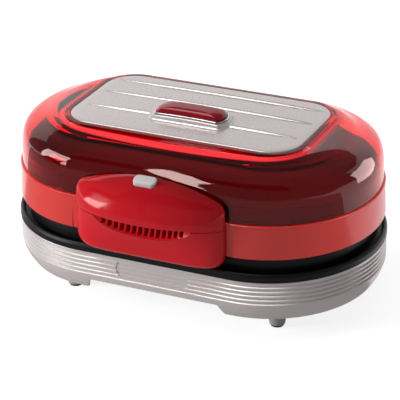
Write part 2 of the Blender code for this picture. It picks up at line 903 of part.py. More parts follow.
def lid_band():
    """Red band of the lid: draughted wall, proud top lip, two inner flanges, handle pad and cover lugs."""
    low_half = body_half_width + draft
    inner_low = low_half - band_wall
    inner_high = body_half_width - band_wall
    lip = body_half_width + band_lip
    edge = band_lip_height / 4
    flange_z = band_bottom + band_flange_thickness
    under_top = band_top - band_top_thickness
    section = [
        (low_half, band_bottom), (body_half_width, band_top - band_lip_height),
        (lip, band_top - band_lip_height + edge), (lip, band_top - edge), (body_half_width, band_top),
        (body_half_width - band_top_flange_width, band_top),
        (body_half_width - band_top_flange_width, under_top), (inner_high, under_top - band_wall / 2),
        (inner_low, flange_z), (low_half - band_flange_width, flange_z),
        (low_half - band_flange_width, band_bottom),
    ]
    band = place(stadium("lid_band", section, "band_red"), "lid")
    pad_high = band_top - pad_top_margin
    pad_low = band_bottom - overrun
    recess = [(pad_half_width, pad_low)]
    for step in range(bend_steps + 1):
        angle = math.pi / 2 * step / bend_steps
        recess.append((
            pad_half_width - pad_corner * (1 - math.cos(angle)),
            pad_high - pad_corner * (1 - math.sin(angle)),
        ))
    recess += [(-x, z) for x, z in reversed(recess)]
    front = -(low_half + overrun)
    loops = [[Vector((x, y, z)) for x, z in recess] for y in (front, -(low_half - pad_depth))]
    cut(band, place(loft("handle_pad", loops, "band_red"), "lid"))
    lug_inner = body_half_width - band_wall / 2
    lug = [(lug_inner, cover_axis_z - cover_ear_drop - band_wall)]
    lug += [(body_half_width + band_wall, cover_axis_z - cover_ear_drop + band_wall)]
    lug += arc(cover_axis_y, cover_axis_z, cover_ear_radius, -35, 180)
    lug += [
        (cover_axis_y - cover_ear_radius, band_top - band_lip_height / 2),
        (lug_inner, band_top - band_lip_height),
    ]
    slot = cover_arm_width + 2 * gap
    lug_offset = slot / 2 + cover_ear_width / 2
    hole_length = slot + 2 * cover_ear_width + 2 * overrun
    for side in (1, -1):
        for hand in (1, -1):
            centre = side * cover_hinge_x + hand * lug_offset
            join(band, place(plate("cover_lug", lug, centre, cover_ear_width), "lid"))
        bore = rod("lug_bore", cover_pin_radius + gap, hole_length)
        start = side * cover_hinge_x - hole_length / 2
        cut(band, place(lying(bore, "x"), "lid", (start, cover_axis_y, cover_axis_z)))
        screw_z = band_top - handle_screw_drop
        hole = rod("band_hole", screw_radius + gap, 2 * band_wall + 2 * overrun)
        spot = (side * handle_screw_x, -(low_half - 2 * band_wall - overrun), screw_z)
        cut(band, place(lying(hole, "y"), "lid", spot))


def bun_tray():
    """Black tray on the lid's top flange, with a raised rim inside the cover."""
    well = body_half_width - band_top_flange_width - tray_clearance
    flange_out = body_half_width - cover_inset - cover_wall - tray_clearance
    seat = band_top + gap
    deck = seat + tray_flange
    floor = band_top - tray_floor_drop
    rim = body_half_width - tray_rim_inset
    top = band_top + tray_rim_rise
    section = [
        (0, floor), (well - tray_corner, floor), (well, floor + tray_corner), (well, seat),
        (flange_out, seat), (flange_out, deck), (rim, deck + gap), (rim - tray_wall / 2, top),
        (rim - tray_wall, top + gap), (rim - tray_wall - gap, top),
        (well - tray_wall, deck), (well - tray_wall, floor + tray_corner + tray_wall / 2),
        (well - tray_corner - tray_wall, floor + tray_wall), (0, floor + tray_wall),
    ]
    place(stadium("bun_tray", section, "black", False), "lid")


def hull_reach(along, rise_share):
    """Depth of the handle's hull: nearly square at its foot, bowed like the cap at its top."""
    foot = handle_foot_depth * (1 - abs(along) ** handle_square_share) ** 0.5
    top = handle_top_depth * (1 - abs(along) ** cap_plan_share) ** (1 / cap_bow_share)
    return foot + (top - foot) * rise_share ** handle_flare_share


def handle_hull(low):
    """Boat-shaped hull lofted from its rounded bottom up to the flared top."""
    straight_low = low + handle_corner
    levels = []
    for step in range(bend_steps + 1):
        angle = math.pi / 2 * step / bend_steps
        lift = handle_corner * (1 - math.cos(angle))
        below = max(handle_edge - lift, 0)
        trim = handle_edge - math.sqrt(handle_edge ** 2 - below ** 2)
        levels.append((low + lift, handle_half - handle_corner * (1 - math.sin(angle)), trim))
    for step in range(1, hull_levels + 1):
        levels.append((straight_low + (handle_top - straight_low) * step / hull_levels, handle_half, 0))
    loops = []
    for height, half, trim in levels:
        rise_share = (height - low) / (handle_top - low)
        keep = 1 - trim / handle_foot_depth
        loop = []
        for station in range(cap_stations + 1):
            along = math.sin(math.pi * (station / cap_stations - 0.5))
            loop.append(Vector((half * along, -handle_rear - hull_reach(along, rise_share) * keep, height)))
        loops.append(loop)
    return loft("handle_body", loops, "red")


def handle_body():
    """Red housing under the cap: flared front, hollow at the back, with the slotted vent scoop."""
    low = band_bottom - handle_drop
    rear = -handle_rear
    front = -(handle_rear + handle_top_depth)
    body = place(handle_hull(low), "lid")
    cavity_rear = rear - handle_back_wall
    cavity_front = cavity_rear - handle_cavity_depth
    cavity = box(
        "handle_cavity", (-handle_cavity_half, cavity_front, low + handle_floor),
        (handle_cavity_half, cavity_rear, handle_top + overrun),
    )
    cut(body, place(cavity, "lid"))
    form = bmesh.new()
    bmesh.ops.create_uvsphere(form, u_segments=20, v_segments=12, radius=1)
    bmesh.ops.scale(form, verts=form.verts, vec=(scoop_half, scoop_depth, scoop_height))
    scoop_z = handle_top + scoop_lift
    cut(body, place(shape_from(form, "vent_scoop", "red"), "lid", (0, front + scoop_inset, scoop_z)))
    form = bmesh.new()
    for index in range(slot_count):
        centre = (index - (slot_count - 1) / 2) * slot_pitch
        bow = math.sqrt(1 - (centre / scoop_half) ** 2)
        bottom = scoop_z - scoop_height * bow + slot_margin
        slot = bmesh.ops.create_cube(form, size=1)["verts"]
        for corner in slot:
            corner.co.x = centre + corner.co.x * slot_width
            corner.co.y = front - overrun if corner.co.y < 0 else cavity_rear - handle_cavity_depth / 2
            corner.co.z = bottom if corner.co.z < 0 else handle_top + overrun
    cut(body, place(shape_from(form, "vent_slots", "red"), "lid"))
    for side in (1, -1):
        hole = rod("handle_hole", screw_radius + gap, handle_screw_length)
        spot = (side * handle_screw_x, rear + overrun, band_top - handle_screw_drop)
        cut(body, place(lying(hole, "y"), "lid", spot))
        word = "right" if side > 0 else "left"
        fixing = screw("handle_screw_" + word, screw_radius, handle_screw_length)
        inside = -(body_half_width - band_wall - gap)
        place(lying(fixing, "y"), "lid", (side * handle_screw_x, inside, band_top - handle_screw_drop))


def cap_loops(half, depth, height, floor_z, rear_y):
    """Sections of the boat-shaped cap from left to right: bowed in plan, arched in height."""
    loops = []
    lip = math.pi / 2 * cap_start_share
    for station in range(cap_stations + 1):
        along = math.sin(math.pi * (station / cap_stations - 0.5)) * cap_stop_share
        x = half * along / cap_stop_share
        reach = depth * (1 - abs(along) ** cap_plan_share) ** (1 / cap_bow_share)
        rise = height * (1 - cap_sag_share * (x / half) ** 2) * (1 - abs(along) ** cap_end_share) ** 0.5
        loop = [Vector((x, rear_y, floor_z)), Vector((x, rear_y - reach * cap_tuck_share, floor_z))]
        for step in range(cap_round_steps + 1):
            angle = lip + (math.pi / 2 - lip) * step / cap_round_steps
            loop.append(Vector((
                x, rear_y - reach * math.cos(angle) / math.cos(lip),
                floor_z + rise * math.sin(angle) ** cap_round_share,
            )))
        loops.append(loop)
    return loops


def cap_surface(y):
    """Height of the cap's outer surface on the centre line."""
    share = (-y - handle_rear) / cap_depth * math.cos(math.pi / 2 * cap_start_share)
    return handle_top + gap + cap_height * (1 - share * share) ** (cap_round_share / 2)


def handle_cap():
    """Hollow boat-shaped cap with the button's opening and a slot in its floor."""
    floor = handle_top + gap
    outer = cap_loops(handle_half, cap_depth, cap_height, floor, -handle_rear)
    cap = place(loft("handle_cap", outer, "red"), "lid")
    inner = cap_loops(
        handle_half - cap_end_wall, cap_depth - 2 * cap_wall, cap_height - 2 * cap_wall,
        floor + cap_wall, -handle_rear - cap_wall)
    cut(cap, place(loft("cap_hollow", inner, "red"), "lid"))
    opening = rounded_block(
        "button_opening", button_width / 2 + gap, button_depth / 2 + gap, button_corner + gap,
        cap_surface(button_y) - button_height, cap_surface(button_y) + button_height)
    cut(cap, place(opening, "lid", (0, button_y, 0)))
    rear = -handle_rear - handle_back_wall - gap
    slot = box(
        "cap_floor_slot", (-cap_opening_half, rear - cap_opening_depth, floor - overrun),
        (cap_opening_half, rear, floor + cap_wall + overrun),
    )
    cut(cap, place(slot, "lid"))


def rounded_block(name, half_x, half_y, corner, low, high, material="grey", top=None):
    """An upright block with rounded corners; a list of (inset, height function) shapes its top."""
    rows = [level(outline(half_x, half_y, corner, corner), low)]
    if top is None:
        rows.append(level(outline(half_x, half_y, corner, corner), high))
    else:
        for inset, height in top:
            radius = max(corner - inset, corner / 3)
            rows.append(level(outline(half_x - inset, half_y - inset, radius, radius), height))
    return loft(name, rows, material)


def release_button():
    """Silver button whose top follows the cap, with side lips and a stem for its spring."""
    top_z = cap_surface(button_y) + button_proud
    low = top_z - button_proud - button_height

    def crown(drop):
        return lambda x, y: top_z - drop + button_slope * y

    top = ((0, crown(button_edge)), (button_edge / 3, crown(button_edge / 3)), (button_edge, crown(0)))
    button = rounded_block(
        "release_button", button_width / 2, button_depth / 2, button_corner, low, None, "grey", top)
    place(button, "button", (0, button_y, 0))
    reach = button_width / 2 + button_lip
    lips = box(
        "button_lips", (-reach, -button_lip_depth / 2, low),
        (reach, button_lip_depth / 2, low + button_lip_height))
    join(button, place(lips, "button", (0, button_y, 0)))
    stem = rod("button_stem", button_stem_radius, button_stem + overrun)
    join(button, place(stem, "button", (0, button_y, low - button_stem)))
    return low


def button_spring(button_low):
    """Helical spring between the cap's floor and the button."""
    low = handle_top + gap + cap_wall + gap + spring_wire
    high = button_low - gap - spring_wire
    count = spring_turns * spring_points
    curve = bpy.data.curves.new("button_spring", "CURVE")
    curve.dimensions = "3D"
    curve.bevel_depth = spring_wire
    curve.bevel_resolution = 0
    curve.use_fill_caps = True
    spline = curve.splines.new("POLY")
    spline.points.add(count)
    for index, point in enumerate(spline.points):
        angle = 2 * math.pi * index / spring_points
        height = low + (high - low) * index / count
        point.co = (spring_radius * math.cos(angle), spring_radius * math.sin(angle), height, 1)
    curve.materials.append(finishes["steel"])
    spring = bpy.data.objects.new("button_spring", curve)
    parts.objects.link(spring)
    place(spring, "lid", (0, button_y, 0))


def dome_profile(offset):
    """Insets and heights of the cover's wall and shoulder, moved inwards by an offset."""
    points = [
        (cover_inset + dome_reach * reach, cover_bottom + dome_rise * rise)
        for reach, rise in dome_shares
    ]
    if not offset:
        return points
    moved = []
    for index, (inset, height) in enumerate(points):
        before = points[max(index - 1, 0)]
        after = points[min(index + 1, len(points) - 1)]
        run = Vector((after[0] - before[0], after[1] - before[1])).normalized()
        moved.append((inset + run.y * offset, height - run.x * offset))
    moved[0] = (moved[0][0], cover_bottom)
    return moved


def bun_cover():
    """Translucent dome with a raised plateau round the panel's recess, and two hinge arms."""
    rim_x = panel_half_length + plateau_rim
    rim_y = panel_half_width + plateau_rim
    rim_corner = panel_corner + plateau_rim
    top = cover_bottom + plateau_rise
    seat = top - panel_recess

    def foot(x, y):
        share = min(abs(x) / rim_x, 1) ** 2
        return cover_bottom + plateau_foot_front + (plateau_foot_end - plateau_foot_front) * share

    def ceiling(x, y):
        return foot(x, y) - cover_wall

    rim = (rim_x, rim_y, rim_corner)
    panel = (panel_half_length, panel_half_width, panel_corner)
    outer = [level(stadium_outline(body_half_width - inset), height) for inset, height in dome_profile(0)]
    outer += [
        grown(*rim, plateau_draft, foot), grown(*rim, 0, top - plateau_edge), grown(*rim, -plateau_edge, top),
        grown(*panel, panel_play, top), grown(*panel, panel_play, seat),
    ]
    inside = dome_profile(cover_wall)
    inner = [
        level(stadium_outline(body_half_width - inset), height)
        for inset, height in inside[:1] + inside[2:]
    ]
    inner += [grown(*rim, -plateau_draft, ceiling), grown(*rim, -cover_wall, seat - cover_wall)]
    loops = list(reversed(inner)) + outer
    cover = place(loft("bun_cover", loops, "clear_red"), "cover")
    web_out = body_half_width - cover_inset - cover_wall / 2
    arm_high = cover_axis_z + cover_arm_rise
    arm = [(web_out, cover_bottom + gap), (web_out, arm_high + cover_wall / 2)]
    arm += [(body_half_width, arm_high - cover_wall / 2)]
    arm += list(reversed(arc(cover_axis_y, cover_axis_z, cover_eye_radius, -160, 75)))
    arm += [(body_half_width, cover_bottom + gap)]
    hole_length = cover_arm_width + 2 * overrun
    for side in (1, -1):
        centre = side * cover_hinge_x
        join(cover, place(plate("cover_arm", arm, centre, cover_arm_width), "cover"))
        bore = rod("cover_arm_bore", cover_pin_radius + gap, hole_length)
        spot = (centre - hole_length / 2, cover_axis_y, cover_axis_z)
        cut(cover, place(lying(bore, "x"), "cover", spot))
        for side_y in (1, -1):
            hole = rod("panel_boss_hole", panel_boss_radius + gap, cover_wall + 2 * overrun)
            spot = (side * panel_screw_x, side_y * panel_screw_y, seat - cover_wall - overrun)
            cut(cover, place(hole, "cover", spot))


def cover_pins():
    """Headed pins of the cover's hinge."""
    slot = cover_arm_width + 2 * gap
    clevis = slot + 2 * cover_ear_width
    profile = (
        (0, clevis + gap + cover_head), (cover_pin_radius, clevis + gap + cover_head),
        (cover_pin_radius, -gap), (cover_head_radius, -gap),
        (cover_head_radius, -gap - cover_head), (0, -gap - cover_head),
    )
    for side_name, side in {"right": 1, "left": -1}.items():
        pin = turned("cover_pin_" + side_name, profile, "steel", small_steps)
        start = side * cover_hinge_x - clevis / 2
        place(lying(pin, "x"), "lid", (start, cover_axis_y, cover_axis_z))


def panel_seat():
    """Level that the panel's underside rests at."""
    return cover_bottom + plateau_rise - panel_recess + gap


def panel_surface(x, y):
    """Height of the panel's crowned top."""
    share = min(max(abs(x) / panel_half_length, abs(y) / panel_half_width), 1)
    return panel_seat() + panel_edge + panel_crown * (1 - share * share)


def top_panel():
    """Silver panel with three ridges, a raised badge boss and four screw bosses below."""
    seat = panel_seat()
    full = outline(panel_half_length, panel_half_width, panel_corner, panel_corner)
    loops = [level(full, seat), level(full, seat + panel_edge * panel_side_share)]
    for share in panel_ring_shares:
        ring = [(x * share, y * share) for x, y in full]
        loops.append(level(ring, panel_surface(panel_half_length * share, 0)))
    centre = Vector((0, 0, panel_surface(0, 0)))
    panel = place(loft("top_panel", loops, "silver", centre), "cover")
    for middle in ridge_y:
        join(panel, place(ridge(middle), "cover"))
    join(panel, place(badge_boss(), "cover"))
    low = seat - cover_wall
    boss_height = cover_wall + panel_edge * panel_side_share
    for side_x, word_x in ((1, "right"), (-1, "left")):
        for side_y, word_y in ((1, "rear"), (-1, "front")):
            spot = Vector((side_x * panel_screw_x, side_y * panel_screw_y, low))
            join(panel, place(rod("panel_boss", panel_boss_radius, boss_height), "cover", spot))
            hole = rod("panel_screw_hole", panel_screw_radius + gap, panel_screw_length + gap)
            cut(panel, place(hole, "cover", spot - Vector((0, 0, gap))))
            made = screw(
                "panel_screw_" + word_y + "_" + word_x, panel_screw_radius, panel_screw_length,
                panel_screw_head_radius, panel_screw_head)
            place(made, "cover", spot - Vector((0, 0, 2 * gap)))


def ridge(middle):
    """A long low ridge that fades out at both ends."""
    loops = []
    for station in range(ridge_stations + 1):
        along = math.sin(math.pi * (station / ridge_stations - 0.5))
        x = ridge_half_length * along
        fade = 1 - (1 - ridge_end_share) * abs(along) ** ridge_fade_share
        surface = panel_surface(x, middle)
        loop = []
        for step in range(ridge_steps + 1):
            angle = math.pi * step / ridge_steps
            y = middle + ridge_half_width * fade * math.cos(angle)
            loop.append(Vector((x, y, surface - gap + ridge_height * fade * math.sin(angle))))
        low = surface - panel_edge / 2
        loop.append(Vector((x, middle - ridge_half_width * fade, low)))
        loop.append(Vector((x, middle + ridge_half_width * fade, low)))
        loops.append(loop)
    return loft("panel_ridge", loops, "silver")


def badge_arch(x):
    """Rise of the badge's top over the panel: highest at the centre."""
    share = (x / badge_half_length) ** 2
    return badge_rise * (1 - (1 - badge_end_share) * share)


def badge_outline(half_length, half_width):
    """Plan of the badge: straight long sides and short ends that bow outwards."""
    points = []
    for side in (1, -1):
        for step in range(badge_stations):
            points.append((side * half_length * (1 - 2 * step / badge_stations), side * half_width))
        for step in range(badge_end_steps):
            across = 1 - 2 * step / badge_end_steps
            reach = half_length + badge_bow * (1 - across * across)
            points.append((-side * reach, side * half_width * across))
    return [(x, badge_y + y) for x, y in points]


def badge_boss():
    """Raised arched boss that carries the bezel and lens."""
    base = panel_surface(0, badge_y)
    inset = badge_edge
    loops = [
        level(badge_outline(badge_half_length, badge_half_width), base - panel_edge / 2),
        level(badge_outline(badge_half_length, badge_half_width), lambda x, y: base + badge_arch(x) - inset),
        level(
            badge_outline(badge_half_length - inset, badge_half_width - inset),
            lambda x, y: base + badge_arch(x)),
    ]
    return loft("badge_boss", loops, "silver")


def badge_trim():
    """Chrome bezel ring and the domed red lens inside it, both bare."""
    base = panel_surface(0, badge_y)

    def above(rise):
        return lambda x, y: base + badge_arch(x) + gap + rise

    outer = badge_outline(bezel_half_length, bezel_half_width)
    inner_length = bezel_half_length - bezel_width
    inner_width = bezel_half_width - bezel_width
    inner = badge_outline(inner_length, inner_width)
    crest = badge_outline(bezel_half_length - bezel_width / 2, bezel_half_width - bezel_width / 2)
    loops = [
        level(outer, above(0)), level(outer, above(bezel_height / 2)), level(crest, above(bezel_height)),
        level(inner, above(bezel_height / 2)), level(inner, above(0)),
    ]
    place(loft("badge_bezel", loops, "chrome", ring=True), "cover")
    window = badge_outline(inner_length - gap, inner_width - gap)
    loops = [level(window, above(0)), level(window, above(bezel_height / 2))]
    for spread, rise in lens_ring_shares:
        ring = [(x * spread, badge_y + (y - badge_y) * spread) for x, y in window]
        loops.append(level(ring, above(bezel_height / 2 + lens_crown * rise)))
    tip = Vector((0, badge_y, base + badge_arch(0) + gap + bezel_height / 2 + lens_crown))
    place(loft("badge_lens", loops, "lens_red", tip), "cover")


def cover_catch():
    """Small tab on the cover's front, hidden behind the handle cap."""
    rear = -(body_half_width - cover_inset + gap)
    low = cover_bottom + gap
    tab = box(
        "cover_catch", (-catch_width / 2, rear - catch_thickness, low),
        (catch_width / 2, rear, low + catch_height), "red")
    place(tab, "cover")


base_shell()
base_collar()
lower_housing()
lower_plate()
upper_plate()
heaters()
heat_shield()
bottom_cover()
feet_and_screws()
electrics()
lid_hinges()
lid_band()
bun_tray()
handle_body()
handle_cap()
button_spring(release_button())
bun_cover()
cover_pins()
top_panel()
badge_trim()
cover_catch()
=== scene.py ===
# Looks of the double hamburger maker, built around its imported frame. Lengths are in metres.
import json
import math

import bmesh
import bpy
from mathutils import Matrix, Vector


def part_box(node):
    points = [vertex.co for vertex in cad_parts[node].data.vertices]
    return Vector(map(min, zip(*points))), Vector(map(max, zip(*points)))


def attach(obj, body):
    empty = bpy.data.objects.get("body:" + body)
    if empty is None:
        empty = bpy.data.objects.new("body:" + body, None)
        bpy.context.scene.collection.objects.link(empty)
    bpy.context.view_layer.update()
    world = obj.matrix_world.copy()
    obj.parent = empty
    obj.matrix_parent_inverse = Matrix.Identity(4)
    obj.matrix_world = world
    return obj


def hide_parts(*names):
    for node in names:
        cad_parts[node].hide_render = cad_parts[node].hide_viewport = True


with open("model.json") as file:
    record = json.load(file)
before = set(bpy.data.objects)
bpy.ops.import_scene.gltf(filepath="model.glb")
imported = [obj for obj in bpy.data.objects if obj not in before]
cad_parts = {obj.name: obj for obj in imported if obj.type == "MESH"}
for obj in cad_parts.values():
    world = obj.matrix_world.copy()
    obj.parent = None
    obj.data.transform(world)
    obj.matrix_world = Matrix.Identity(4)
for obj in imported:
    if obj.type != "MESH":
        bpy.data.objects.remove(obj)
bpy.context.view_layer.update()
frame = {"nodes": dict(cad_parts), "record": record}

print("stage: frame loaded")

# Places and sizes that several pieces share, read from the frame where it has them
collarLow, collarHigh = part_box("base_collar")
shellLow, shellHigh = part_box("base_shell")
housingLow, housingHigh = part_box("lower_housing")
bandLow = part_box("lid_band")[0].z
gap = 0.0003  # clearance between pieces
over = 0.0010  # how far a cutting tool or a joined piece reaches past the face
fine, crisp, eased, soft, broad = 0.0002, 0.0003, 0.0004, 0.0006, 0.0010  # radii of moulded edges
centreY = (collarLow.y + collarHigh.y) / 2  # the long axis of the body
collarHalf = (collarHigh.y - collarLow.y) / 2
shellHalf = collarHalf - 0.0004
housingHalf = (housingHigh.y - housingLow.y) / 2
bodyHalf = collarHalf - 0.0027  # half width of the lid
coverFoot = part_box("cover_catch")[0].z - gap
bandTop = coverFoot - 0.0006
plan = {
    "straightHalf": 0.0639,  # half the straight run between the round ends
    "endPress": 0.933,  # how far the round ends are pressed in
    "endSteps": 48,
    "weld": 0.00001,
    "leastAngle": 0.05,  # radians, for the tightest corner
    "cornerShare": 0.48,  # most of a side that a rounded corner may take
}
seat = {"wall": 0.0025, "rise": 0.0125, "width": 0.0055}  # the shell's ledge for the bottom cover
band = {"draft": 0.0010, "flange": 0.0020, "flangeWidth": 0.0067, "topWidth": 0.0071}
dome = {"wall": 0.0022, "inset": 0.0013, "rim": 0.0054, "plateau": 0.0440, "recess": 0.0015}
coverAxis = (bodyHalf + 0.0052, bandTop + 0.0013, 0.0260)  # back, up and aside
coverPin = {"radius": 0.0015, "bore": 0.0200}
screw = {"radius": 0.0013, "reach": 0.0105}
handle = {
    "half": 0.0625, "rear": bodyHalf + 0.0013, "backWall": 0.0020, "footDepth": 0.0110, "topDepth": 0.0235,
    "square": 6, "flare": 2, "drop": 0.0110, "corner": 0.0120, "edge": 0.0060, "top": bandTop - 0.0024,
    "plan": 2.2, "bow": 1.6, "stations": 40, "screwX": 0.0470, "screwDrop": 0.0170}


# Small tools for modelling

def deselectAll():
    bpy.ops.object.select_all(action="DESELECT")


def selectMesh():
    bpy.ops.mesh.select_all(action="SELECT")


def editMode():
    bpy.ops.object.mode_set(mode="EDIT")


def objectMode():
    bpy.ops.object.mode_set(mode="OBJECT")


def add(operator, name, **settings):  # one of Blender's own shapes, under the piece's name
    deselectAll()
    operator(**settings)
    piece = bpy.context.object
    piece.name = name
    piece.data.name = name
    return piece


def makeActive(piece):
    deselectAll()
    piece.select_set(True)
    bpy.context.view_layer.objects.active = piece


def pick(test, kind="VERT"):  # selects what passes the test, in edit mode
    bpy.ops.mesh.select_mode(type=kind)
    bpy.ops.mesh.select_all(action="DESELECT")
    mesh = bmesh.from_edit_mesh(bpy.context.object.data)
    items = {"VERT": mesh.verts, "EDGE": mesh.edges, "FACE": mesh.faces}[kind]
    items.ensure_lookup_table()
    for item in items:
        item.select = bool(test(item))
    mesh.select_flush_mode()
    bmesh.update_edit_mesh(bpy.context.object.data)


def reshape(piece, move):  # moves each corner to where a rule puts it
    for corner in piece.data.vertices:
        corner.co = move(corner.co.copy())
    piece.data.update()


def applied(piece, kind, **settings):
    modifier = piece.modifiers.new(kind.lower(), kind)
    for key, value in settings.items():
        setattr(modifier, key, value)
    makeActive(piece)
    bpy.ops.object.modifier_apply(modifier=modifier.name)
    return piece


def carve(piece, tool, operation="DIFFERENCE"):
    applied(piece, "BOOLEAN", object=tool, operation=operation, solver="EXACT")
    bpy.data.objects.remove(tool)
    return piece


def roundEdges(piece, width, segments=2, angle=40):
    return applied(
        piece, "BEVEL", width=width, segments=segments, limit_method="ANGLE",
        angle_limit=math.radians(angle), use_clamp_overlap=True)


def smooth(piece, angle=32):
    makeActive(piece)
    bpy.ops.object.shade_smooth_by_angle(angle=math.radians(angle))
    return piece


def weldAndTurnOut(piece):
    makeActive(piece)
    editMode()
    selectMesh()
    bpy.ops.mesh.remove_doubles(threshold=plan["weld"])
    bpy.ops.mesh.normals_make_consistent(inside=False)
    objectMode()
    return piece


def softCorners(outline, steps=4):  # (across, up, radius) corners become short arcs
    points = []
    for index, (across, up, radius) in enumerate(outline):
        here = Vector((across, up))
        if not radius:
            points.append(here)
            continue
        before = Vector(outline[index - 1][:2]) - here
        after = Vector(outline[(index + 1) % len(outline)][:2]) - here
        reach = radius / math.tan(max(before.angle(after), plan["leastAngle"]) / 2)
        reach = min(reach, before.length * plan["cornerShare"], after.length * plan["cornerShare"])
        start = here + before.normalized() * reach
        end = here + after.normalized() * reach
        for step in range(steps + 1):
            share = step / steps
            points.append(start * (1 - share) ** 2 + here * 2 * share * (1 - share) + end * share ** 2)
    return points


def quarterRound(radius, steps):
    # how far in and down each step of a rounded edge lies, from its side to its top
    angles = [math.pi / 2 * step / steps for step in range(steps + 1)]
    return [(radius * (1 - math.cos(angle)), radius * (1 - math.sin(angle))) for angle in angles]


def turnPoints(place, radius, start, end, steps=24):  # points of an arc seen from the side, in degrees
    angles = [math.radians(start + (end - start) * step / steps) for step in range(steps + 1)]
    return [(place[0] + radius * math.cos(angle), place[1] + radius * math.sin(angle), 0) for angle in angles]


def drawLine(name, points, closed=False):  # a corner is extruded from point to point
    piece = add(bpy.ops.mesh.primitive_plane_add, name, size=gap)
    editMode()
    bpy.ops.mesh.select_mode(type="VERT")
    selectMesh()
    bpy.ops.mesh.merge(type="CENTER")
    bpy.ops.transform.translate(value=points[0])
    for here, there in zip(points, points[1:]):
        bpy.ops.mesh.extrude_vertices_move(TRANSFORM_OT_translate={"value": there - here})
    if closed:
        last = len(points) - 1
        pick(lambda corner: corner.index in (0, last))
        bpy.ops.mesh.edge_face_add()
    selectMesh()
    return piece


def sweepBody(name, outline, closed=True):  # a section swept round the body's plan
    straight = plan["straightHalf"]
    points = [Vector((straight, centreY - across, up)) for across, up in softCorners(outline)]
    piece = drawLine(name, points, closed)
    middle = (straight, centreY, 0)
    bpy.ops.mesh.spin(steps=plan["endSteps"], angle=-math.pi, center=middle, axis=(0, 0, 1))
    selectMesh()
    bpy.ops.mesh.remove_doubles(threshold=plan["weld"])
    bpy.ops.transform.resize(value=(plan["endPress"], 1, 1), center_override=middle)
    pick(lambda edge: all(abs(end.co.x - straight) < gap / 10 for end in edge.verts), "EDGE")
    bpy.ops.mesh.extrude_edges_move(TRANSFORM_OT_translate={"value": (-straight, 0, 0)})
    objectMode()
    applied(piece, "MIRROR", use_axis=(True, False, False), merge_threshold=plan["weld"])
    return weldAndTurnOut(piece)


def spinRound(name, outline, place, steps=48, axis=(0, 0, 1), arcSteps=4, closed=False):
    # a turned piece: the outline is (radius, height, corner radius), a closed one leaves a bore
    points = [Vector((across, 0, up)) for across, up in softCorners(outline, arcSteps)]
    piece = drawLine(name, points, closed)
    bpy.ops.mesh.spin(steps=steps, angle=2 * math.pi, center=(0, 0, 0), axis=(0, 0, 1))
    objectMode()
    turn = Vector((0, 0, 1)).rotation_difference(Vector(axis)).to_matrix().to_4x4()
    piece.data.transform(Matrix.Translation(place) @ turn)
    return weldAndTurnOut(piece)


def sidePlate(name, outline, middle, width):
    # a (back, up, corner radius) outline is filled and pulled out along X
    points = [Vector((middle - width / 2, centreY + back, up)) for back, up in softCorners(outline)]
    piece = drawLine(name, points, closed=True)
    bpy.ops.mesh.edge_face_add()
    selectMesh()
    bpy.ops.mesh.extrude_region_move(TRANSFORM_OT_translate={"value": (width, 0, 0)})
    objectMode()
    return weldAndTurnOut(piece)


def block(name, low, high):
    low, high = Vector(low), Vector(high)
    piece = add(bpy.ops.mesh.primitive_cube_add, name, size=1)
    editMode()
    bpy.ops.transform.resize(value=high - low)
    bpy.ops.transform.translate(value=(low + high) / 2)
    objectMode()
    return piece


def rod(name, radius, length, middle, along="Z", corners=32):
    turn = {"X": (0, math.pi / 2, 0), "Y": (math.pi / 2, 0, 0), "Z": (0, 0, 0)}[along]
    piece = add(bpy.ops.mesh.primitive_cylinder_add, name, vertices=corners, radius=radius, depth=length,
                location=middle, rotation=turn)
    bpy.ops.object.transform_apply(location=True, rotation=True, scale=True)
    return piece


def roundedSlab(name, half, corner, low, high, middle=(0, 0), segments=10):
    # a plane's corners are rounded and its face is pulled up
    piece = add(bpy.ops.mesh.primitive_plane_add, name, size=1)
    editMode()
    bpy.ops.mesh.select_mode(type="VERT")
    selectMesh()
    bpy.ops.transform.resize(value=(half[0] * 2, half[1] * 2, 1))
    bpy.ops.transform.translate(value=(*middle, low))
    bpy.ops.mesh.bevel(offset=corner, offset_type="OFFSET", segments=segments, affect="VERTICES")
    selectMesh()
    bpy.ops.mesh.extrude_region_move(TRANSFORM_OT_translate={"value": (0, 0, high - low)})
    objectMode()
    return weldAndTurnOut(piece)


def roundOutline(half, corner, height, middle=centreY, runs=(1, 1)):
    # a rounded rectangle's points from the right-hand side on; runs split its straight sides
    sides = ((1, 1), (-1, 1), (-1, -1), (1, -1))
    steps = plan["endSteps"] // 2

    def spot(turn, angle):
        sideX, sideY = sides[turn % 4]
        return Vector((sideX * (half[0] - corner[0]) + corner[0] * math.cos(angle),
                       middle + sideY * (half[1] - corner[1]) + corner[1] * math.sin(angle), 0))

    points = []
    for turn in range(4):
        points += [spot(turn, math.pi / 2 * (turn + step / steps)) for step in range(steps + 1)]
        start, goal, count = points[-1], spot(turn + 1, math.pi / 2 * (turn + 1)), runs[turn % 2]
        points += [start.lerp(goal, step / count) for step in range(1, count)]
    for point in points:
        point.z = height(point.x, point.y) if callable(height) else height
    return points


def bodyOutline(halfWidth, height):
    cornerX = halfWidth * plan["endPress"]
    return roundOutline((plan["straightHalf"] + cornerX, halfWidth), (cornerX, halfWidth - gap), height)


